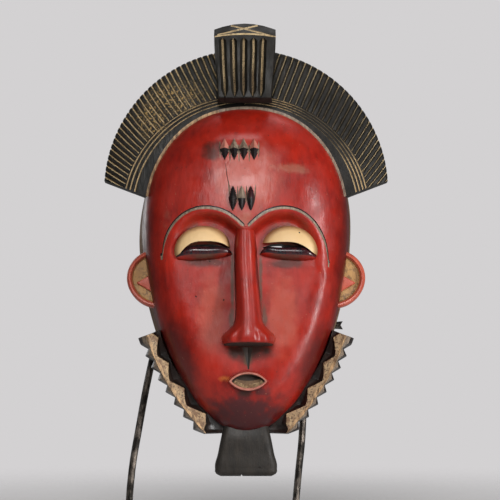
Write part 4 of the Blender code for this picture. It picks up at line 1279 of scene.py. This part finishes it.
def scar_marks(mask, materials):
    """The faceted lozenges and pointed ovals of the forehead, with scratches between them."""
    for xs, z, radii, (segments, rings), roundness, uppers in SCAR_ROWS:
        rise = float(brow_surface(0, z - radii[2]) - brow_surface(0, z + radii[2]))
        pitch = -math.atan2(rise, 2 * radii[2])
        for x, upper in zip(xs, uppers):
            depth = float(brow_surface(x, z)) + 0.5
            mark = rounded(
                "mark", (x, depth, z), radii, PAINT["scar_black"], materials, pitch=pitch,
                segments=segments, rings=rings, upper=PAINT[upper], roundness=roundness,
            )
            combine(mask, mark)
    for x, z, lean in SCRATCHES:
        line = ragged_line((x, z + 7), (x + lean, z - 8), 7, 0.5)
        incise(mask, line, 1.3, 0.8, brow_surface, "worn_edge_and_highlight", materials)


# Worm holes: place across, up and in depth, and their radius.
WORM_HOLES = (
    (-43.6, 158, 60), (-19.4, 155, 60), (-31.6, 188.6, 62), (46.5, 214, 70), (1.4, 285.5, 76),
    (11.8, 7.6, 40),
)
WORM_HOLE_RADIUS = 0.75
# The crack down the forehead: its start, its bend and its end, each across and up.
FOREHEAD_CRACK = ((-18.4, 276), (-15.6, 259), (-13.6, 252))
# The split under the lock, across and in depth, and the nick in the beard, across and up.
LOCK_SPLIT, LOCK_SPLIT_HEIGHTS = ((-19.3, 62), (-18.5, 62), (-18.9, 46)), (328, 331, 334, 338)
BEARD_NICK = ((-5.2, -1), (-2.6, -1), (-3.9, 1.6))


def worm_hole(x, z, depth, materials):
    """A round hole a few millimetres deep."""
    angles = np.linspace(0, math.tau, 10, endpoint=False)
    across, up = x + WORM_HOLE_RADIUS * np.cos(angles), z + WORM_HOLE_RADIUS * np.sin(angles)
    loops = [np.stack([across, np.full(10, d), up], -1) for d in (depth - 4, depth + 6)]
    return lay_skin("worm_hole", loops, PAINT["dark_dirt_and_shade"], materials)


def old_damage(mask, materials):
    """Worm holes, the crack down the forehead, one under the lock, and a nick in the beard."""
    # The holes, the crack and the split are painted dark inside: painted shade.
    for x, z, depth in WORM_HOLES:
        combine(mask, worm_hole(x, z, depth, materials), "DIFFERENCE")
    start, middle, end = FOREHEAD_CRACK
    line = np.concatenate([ragged_line(start, middle, 8), ragged_line(middle, end, 5)[1:]])
    incise(mask, line, 0.6, 0.9, brow_surface, "dark_dirt_and_shade", materials)
    split = [[(x, d, z) for x, d in LOCK_SPLIT] for z in LOCK_SPLIT_HEIGHTS]
    combine(mask, lay_skin("lock_split", split, PAINT["dark_dirt_and_shade"], materials), "DIFFERENCE")
    nick = [[(x, d, z) for x, z in BEARD_NICK] for d in (0, 50)]
    combine(mask, lay_skin("beard_nick", nick, PAINT["beard_black"], materials), "DIFFERENCE")


# How far what is joined to the face stays away from its hollow.
HOLLOW_CLEARANCE = 1.2


def hollow_room(materials):
    """What is kept free behind the face: a little more than its hollow, so that what is joined to
    the face ends inside its wall."""
    angles = np.linspace(0, math.tau, 120, endpoint=False)
    domes = []
    for share in np.linspace(0.97, 0.07, 14):
        dome = float(dome_depth(share, HOLLOW_SIDE_DEPTH, HOLLOW_APEX_DEPTH))
        domes.append((dome + HOLLOW_CLEARANCE, share))
    rings = []
    for depth, share in ((-6, 1), (HOLLOW_SIDE_DEPTH, 1), *domes):
        x, z = egg(angles, share, RIM_WALL - HOLLOW_CLEARANCE)
        rings.append(np.stack([x, np.full(len(x), depth), z], -1))
    return lay_skin("hollow_room", rings, PAINT["bare_wood"], materials)


# The middle of each ear, across and up.
EAR_X, EAR_Z = 79, 174
# From the ear's outer edge over its rim to the middle of its field: radius, depth, paint.
EAR_PROFILE = (
    (22, 15.5, "ear_salmon"), (25, 15.8, "ear_salmon"), (26, 18, "ear_salmon"),
    (26, 27.5, "ear_salmon"), (25.3, 29.8, "ear_salmon"), (24.0, 31.2, "ear_salmon"),
    (22.8, 31.0, "ear_salmon"), (21.9, 29.9, "ear_salmon"), (21.2, 27.6, "ear_ochre"),
    (20.3, 26.4, "ear_ochre"), (14, 26.0, "ear_ochre"), (6, 26.0, "ear_ochre"),
)
# The triangle in each ear: its middle across and up, its radius, and the angles of its corners.
EAR_MARK_X, EAR_MARK_Z, EAR_MARK_RADIUS, EAR_MARK_ANGLES = 87.5, 170, 9.5, (0, 2.1, 4.2)


def ear_mark(side, materials):
    """The small raised triangle in an ear, its edges eased."""
    corners = [
        (side * (EAR_MARK_X + EAR_MARK_RADIUS * math.cos(a)), EAR_MARK_Z + EAR_MARK_RADIUS * math.sin(a))
        for a in EAR_MARK_ANGLES
    ]
    middle = np.mean(corners, 0)
    loops = []
    for depth, shrink in ((24, 1.0), (27.6, 1.0), (28.6, 0.86), (28.8, 0.5)):
        loop = []
        for i in range(3):
            start, end = np.array(corners[i]), np.array(corners[(i + 1) % 3])
            for t in (0.06, 0.3, 0.5, 0.7, 0.94):
                px, pz = middle + (start + (end - start) * t - middle) * shrink
                loop.append((px, depth, pz))
        loops.append(loop)
    return lay_skin("ear_mark", loops, PAINT["ear_salmon"], materials)


def ear(side, materials):
    """A round ear: a raised rim round a sunk field that holds a small triangle."""
    angles = np.linspace(0, math.tau, 96, endpoint=False)
    rings, shades = [], []
    for radius, depth, paint in EAR_PROFILE:
        reach = radius + 0.35 * np.sin(angles * 3 + side)
        across, up = side * EAR_X + reach * np.cos(angles), EAR_Z + reach * np.sin(angles)
        rings.append(np.stack([across, np.full(len(angles), depth), up], -1))
        shades.append(np.full(len(angles), PAINT[paint]))
    plate = lay_skin("ear", rings, np.array(shades[:-1]), materials)
    combine(plate, ear_mark(side, materials))
    return combine(plate, hollow_room(materials), "DIFFERENCE")


# The jaw collar's three edges, each a bend through three points: shares of the egg's half width
# across, and of its drop below the brow line.
COLLAR_TIPS = ((1.057, 0.545), (0.893, 0.765), (0.465, 1.01))
COLLAR_RIDGE = ((0.96, 0.531), (0.828, 0.772), (0.39, 0.995))
COLLAR_ROOT = ((0.844, 0.507), (0.733, 0.746), (0.156, 0.995))
COLLAR_TEETH = 8
# Where in its pitch a tooth's tip lies, and how far the notch between two teeth is cut in.
TOOTH_TIP, TOOTH_NOTCH = 0.5, 5.0


def bend(points, share):
    """A point on a bend through three points, at a share of the way along it."""
    weights = ((1 - share) ** 2, 2 * share * (1 - share), share**2)
    across = sum(w * p[0] for w, p in zip(weights, points))
    down = sum(w * p[1] for w, p in zip(weights, points))
    return np.array((across * EGG_HALF_WIDTH, EGG_LINE_Z - down * EGG_DROP))


# Up the collar's outer slope: share of its width, depth, paint. Its black foot is black stain and painted
# shade.
COLLAR_SLOPE = (
    (0.0, 26.5, "collar_black_and_shade"), (0.1, 28.4, "collar_black_and_shade"), (0.26, 31.0, "collar_black_and_shade"),
    (0.36, 32.6, "worn_edge_and_highlight"), (0.6, 36.2, "worn_edge_and_highlight"), (0.84, 39.6, "collar_tan"),
    (0.93, 41.2, "worn_cream"), (1.0, 41.7, "worn_cream"),
)
# How many sections the collar is laid on.
COLLAR_STATIONS = 321


def collar(side, materials):
    """The toothed collar of one jaw: saw teeth, a sharp pale ridge and inner facets."""
    rings, shades = [], []
    for i in range(COLLAR_STATIONS):
        share = i / (COLLAR_STATIONS - 1)
        phase = share * COLLAR_TEETH
        step = phase % 1
        tooth = step / TOOTH_TIP if step < TOOTH_TIP else (1 - step) / (1 - TOOTH_TIP)
        notch = TOOTH_NOTCH * (1 - tooth) * (1 if phase > TOOTH_TIP else 0)
        tip, ridge, root = (bend(p, share) for p in (COLLAR_TIPS, COLLAR_RIDGE, COLLAR_ROOT))
        ridge = ridge + (tip - ridge) * 0.06
        inward = (ridge - tip) / np.linalg.norm(ridge - tip)
        tip = tip + inward * notch
        facet = (phase / 2 + 0.12) % 1
        fade = 1 - float(smooth(share, 0.9, 0.99))
        apex = facet / 0.38 if facet < 0.38 else ((1 - facet) / 0.62) ** 1.4
        reach = (0.2 + 0.56 * apex) * fade + 0.04
        # Round the root and the tooth's side wall the paint is black: black stain and painted shade.
        points = [(root, 9), (tip, 9), (tip, 14), (tip, 20)]
        paint = ["collar_black_and_shade"] * 4
        for t, depth, kind in COLLAR_SLOPE:
            points.append((tip + (ridge - tip) * t, depth - 0.5 * notch * (1 - t)))
            paint.append(kind)
        scoop = 1 - apex
        for t in (0.3, 0.65, 0.97):
            points.append((ridge + (root - ridge) * reach * t, 41.2 - 4.5 * reach * t))
            paint.append("collar_tan")
        for t in (0.0, 0.12, 0.35, 0.6, 0.8, 1.0):
            at = reach + (1 - reach) * t
            dip = (1.0 + 4.5 * scoop) * smooth(t, -0.05, 0.3)
            points.append((ridge + (root - ridge) * at, 41.2 - 4.5 * at - dip))
            paint.append("collar_black_and_shade")
        rings.append([(side * x, depth, z) for (x, z), depth in points])
        shades.append([PAINT[kind] for kind in paint])
    return lay_skin("collar", rings, np.array(shades[:-1]), materials)


def beard(materials):
    """The block under the chin, with its rounded corners."""
    keys = (0, 1.5, 6.9, 19.8, 34, 46.1)
    values = ((22.5, 33), (25.5, 35), (27.2, 36.5), (24.6, 38), (21.8, 40), (19, 38))
    heights = np.concatenate([[0, 0.4, 1, 2], np.linspace(4, 46.1, 22)])
    rings = []
    for z, (half, depth) in zip(heights, flowing(keys, values, heights)):
        loop = []
        for corner_x, corner_d, start in ((1, 1, 90), (1, 0, 0), (-1, 0, -90), (-1, 1, -180)):
            radius = 6 if corner_d else 2
            cx = corner_x * (half - radius)
            cd = depth - radius if corner_d else 12 + radius
            for step in range(7):
                angle = math.radians(start - 15 * step)
                loop.append((cx + radius * math.cos(angle), cd + radius * math.sin(angle), z))
        rings.append(loop)
    return lay_skin("beard", rings, PAINT["beard_black"], materials)


def hang_forward(piece):
    """Lowers each point by how far it stands forward of the rim."""
    points = np.empty(len(piece.data.vertices) * 3)
    piece.data.vertices.foreach_get("co", points)
    points = points.reshape(-1, 3)
    points[:, 2] = hung(-points[:, 1] / MM, points[:, 2] / MM) * MM
    piece.data.vertices.foreach_set("co", points.reshape(-1))


def lean_onto_stand(piece):
    """Leans a finished shape back from its upright frame to where it rests on the stand."""
    turn = Matrix.Rotation(-LEAN, 4, "X")
    move = Matrix.Translation((0, RIM_Y * MM, BEARD_OVER_FLOOR * MM))
    piece.data.transform(move @ turn)


def smooth_faces(piece, angle=32):
    """Shades a piece smooth, but for its crisp edges."""
    deselect()
    piece.select_set(True)
    bpy.context.view_layer.objects.active = piece
    bpy.ops.object.shade_smooth_by_angle(angle=math.radians(angle))


class CARVE_OT_mask(bpy.types.Operator):
    """Carve and paint the mask"""

    bl_idname = "carve.mask"
    bl_label = "Carve Mask"

    def execute(self, context):
        sizes, colours = context.scene.mask_sizes, context.scene.mask_colours
        materials = mask_materials(colours)
        mask = face_shell(sizes, materials)
        hair = hair_band(materials)
        for side in (-1, 1):
            combine(hair, comb(side, sizes, materials))
        combine(mask, hair)
        for side in (-1, 1):
            combine(mask, collar(side, materials))
        combine(mask, beard(materials))
        combine(mask, hair_lock(materials))
        for side in (-1, 1):
            combine(mask, ear(side, materials))
        combine(mask, nose(materials))
        eyes(mask, materials)
        mouth(mask, materials)
        scar_marks(mask, materials)
        for side in (-1, 1):
            combine(mask, slit(side, materials), "DIFFERENCE")
        old_damage(mask, materials)
        hang_forward(mask)
        lean_onto_stand(mask)
        smooth_faces(mask)
        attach(mask, "root")
        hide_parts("mask")
        return {"FINISHED"}


class FORGE_OT_stand(bpy.types.Operator):
    """Finish the forged stand"""

    bl_idname = "forge.stand"
    bl_label = "Forge Stand"

    def execute(self, context):
        iron = forged_iron(context.scene.mask_colours)
        for name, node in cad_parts.items():
            if name.startswith("stand_"):
                node.data.materials.clear()
                node.data.materials.append(iron)
        return {"FINISHED"}


class STAGE_OT_set(bpy.types.Operator):
    """Set the floor, lights and camera"""

    bl_idname = "stage.set"
    bl_label = "Set Stage"

    def execute(self, context):
        settings = context.scene.stage_settings
        set_floor()
        set_world()
        set_lights(settings.light)
        set_camera(settings.distance)
        return {"FINISHED"}


def set_floor():
    """A round pale floor whose edge fades into the pale backdrop."""
    deselect()
    bpy.ops.mesh.primitive_circle_add(vertices=128, radius=1.0, fill_type="NGON")
    floor = bpy.context.object
    floor.name = "floor"
    made, tree, shader = new_material("matt_pale_studio_paper", 0.9, specular=0.2)
    shader.inputs["Base Color"].default_value = (*linear("DCDADA"), 1)
    point = add_node(tree, "ShaderNodeTexCoord")
    out = add_node(
        tree, "ShaderNodeVectorMath", {"operation": "LENGTH"}, {"Vector": point.outputs["Object"]}
    )
    fade = add_node(
        tree,
        "ShaderNodeMapRange",
        {"interpolation_type": "SMOOTHSTEP", "From Min": 0.3, "From Max": 0.95, "To Min": 1, "To Max": 0},
        {"Value": out.outputs["Value"]},
    )
    tree.links.new(fade.outputs[0], shader.inputs["Alpha"])
    floor.data.materials.append(made)


def set_world():
    """A pale backdrop that the camera sees all round, with a dimmer room in front of the object."""
    world = bpy.data.worlds.new("studio")
    world.use_nodes = True
    tree = world.node_tree
    tree.nodes.clear()
    seen = add_node(tree, "ShaderNodeBackground", {"Color": (*linear("D3D1D2"), 1), "Strength": 1.0})
    way = add_node(tree, "ShaderNodeTexCoord")
    parts = add_node(tree, "ShaderNodeSeparateXYZ", links={"Vector": way.outputs["Generated"]})
    behind = add_node(
        tree,
        "ShaderNodeMapRange",
        {
            "interpolation_type": "SMOOTHSTEP",
            "From Min": -0.35,
            "From Max": 0.6,
            "To Min": 0.03,
            "To Max": 0.14,
        },
        {"Value": parts.outputs["Y"]},
    )
    room = add_node(
        tree, "ShaderNodeBackground", {"Color": (1, 0.99, 0.98, 1)}, {"Strength": behind.outputs[0]}
    )
    ray = add_node(tree, "ShaderNodeLightPath")
    both = add_node(
        tree,
        "ShaderNodeMixShader",
        links={0: ray.outputs["Is Camera Ray"], 1: room.outputs[0], 2: seen.outputs[0]},
    )
    add_node(tree, "ShaderNodeOutputWorld", links={"Surface": both.outputs[0]})
    bpy.context.scene.world = world
    bpy.context.scene.view_settings.view_transform = "Standard"


# Lights: name, place, size, power, what they are aimed at.
LIGHTS = (
    ("key", (-0.1, -1.95, 1.3), (0.7, 0.9), 28, (0, 0, 0.28)),
    ("left_fill", (-1.9, -1.2, 0.9), (0.9, 1.2), 2, (0, 0, 0.25)),
    ("right_strip", (1.35, -1.15, 0.3), (0.1, 1.2), 26, (0, 0, 0.25)),
    ("top", (0.2, 0.6, 2.0), (1.2, 1.0), 9, (0, 0, 0.3)),
    ("back", (-1.2, 1.9, 0.8), (1.0, 1.2), 7, (0, 0, 0.25)),
)


def set_lights(strength):
    """Soft light from above the camera, a weak fill, a strip on the right, and light from behind."""
    for name, place, size, power, aim in LIGHTS:
        data = bpy.data.lights.new(name, "AREA")
        data.shape = "RECTANGLE"
        data.size, data.size_y = size
        data.energy = power * strength
        lamp = bpy.data.objects.new(name, data)
        bpy.context.scene.collection.objects.link(lamp)
        lamp.location = place
        lamp.rotation_euler = (Vector(aim) - Vector(place)).to_track_quat("-Z", "Y").to_euler()


def set_camera(distance):
    """A level camera straight in front, with a long lens, framed as the photograph is."""
    data = bpy.data.cameras.new("camera")
    camera = bpy.data.objects.new("camera", data)
    bpy.context.scene.collection.objects.link(camera)
    camera.location = (CAMERA_X, VIEW_PLANE_Y - distance, CAMERA_HEIGHT)
    camera.rotation_euler = (math.pi / 2, 0, 0)
    data.sensor_width = SENSOR_WIDTH
    data.lens = SENSOR_WIDTH * distance / VIEW_WIDTH
    data.clip_end = 50
    bpy.context.scene.camera = camera


class MASK_PT_panel(bpy.types.Panel):
    """The mask's sizes, colours and steps"""

    bl_label = "Carved Mask"
    bl_idname = "MASK_PT_panel"
    bl_space_type = "VIEW_3D"
    bl_region_type = "UI"
    bl_category = "Carved Mask"

    def draw(self, context):
        for group in (context.scene.mask_sizes, context.scene.mask_colours, context.scene.stage_settings):
            box = self.layout.box()
            for name in group.__annotations__:
                box.prop(group, name)
        for operator in OPERATORS:
            self.layout.operator(operator.bl_idname)


OPERATORS = (CARVE_OT_mask, FORGE_OT_stand, STAGE_OT_set)
GROUPS = {"mask_sizes": MaskSizes, "mask_colours": MaskColours, "stage_settings": StageSettings}


def register():
    """Registers the groups, the operators and the panel."""
    for name, group in GROUPS.items():
        bpy.utils.register_class(group)
        setattr(bpy.types.Scene, name, bpy.props.PointerProperty(type=group))
    for cls in (*OPERATORS, MASK_PT_panel):
        bpy.utils.register_class(cls)


def unregister():
    """Removes what register added."""
    for cls in (MASK_PT_panel, *reversed(OPERATORS)):
        bpy.utils.unregister_class(cls)
    for name, group in GROUPS.items():
        delattr(bpy.types.Scene, name)
        bpy.utils.unregister_class(group)


def main():
    """Registers the add-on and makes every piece."""
    register()
    bpy.ops.carve.mask()
    bpy.ops.forge.stand()
    bpy.ops.stage.set()


if __name__ == "__main__":
    main()
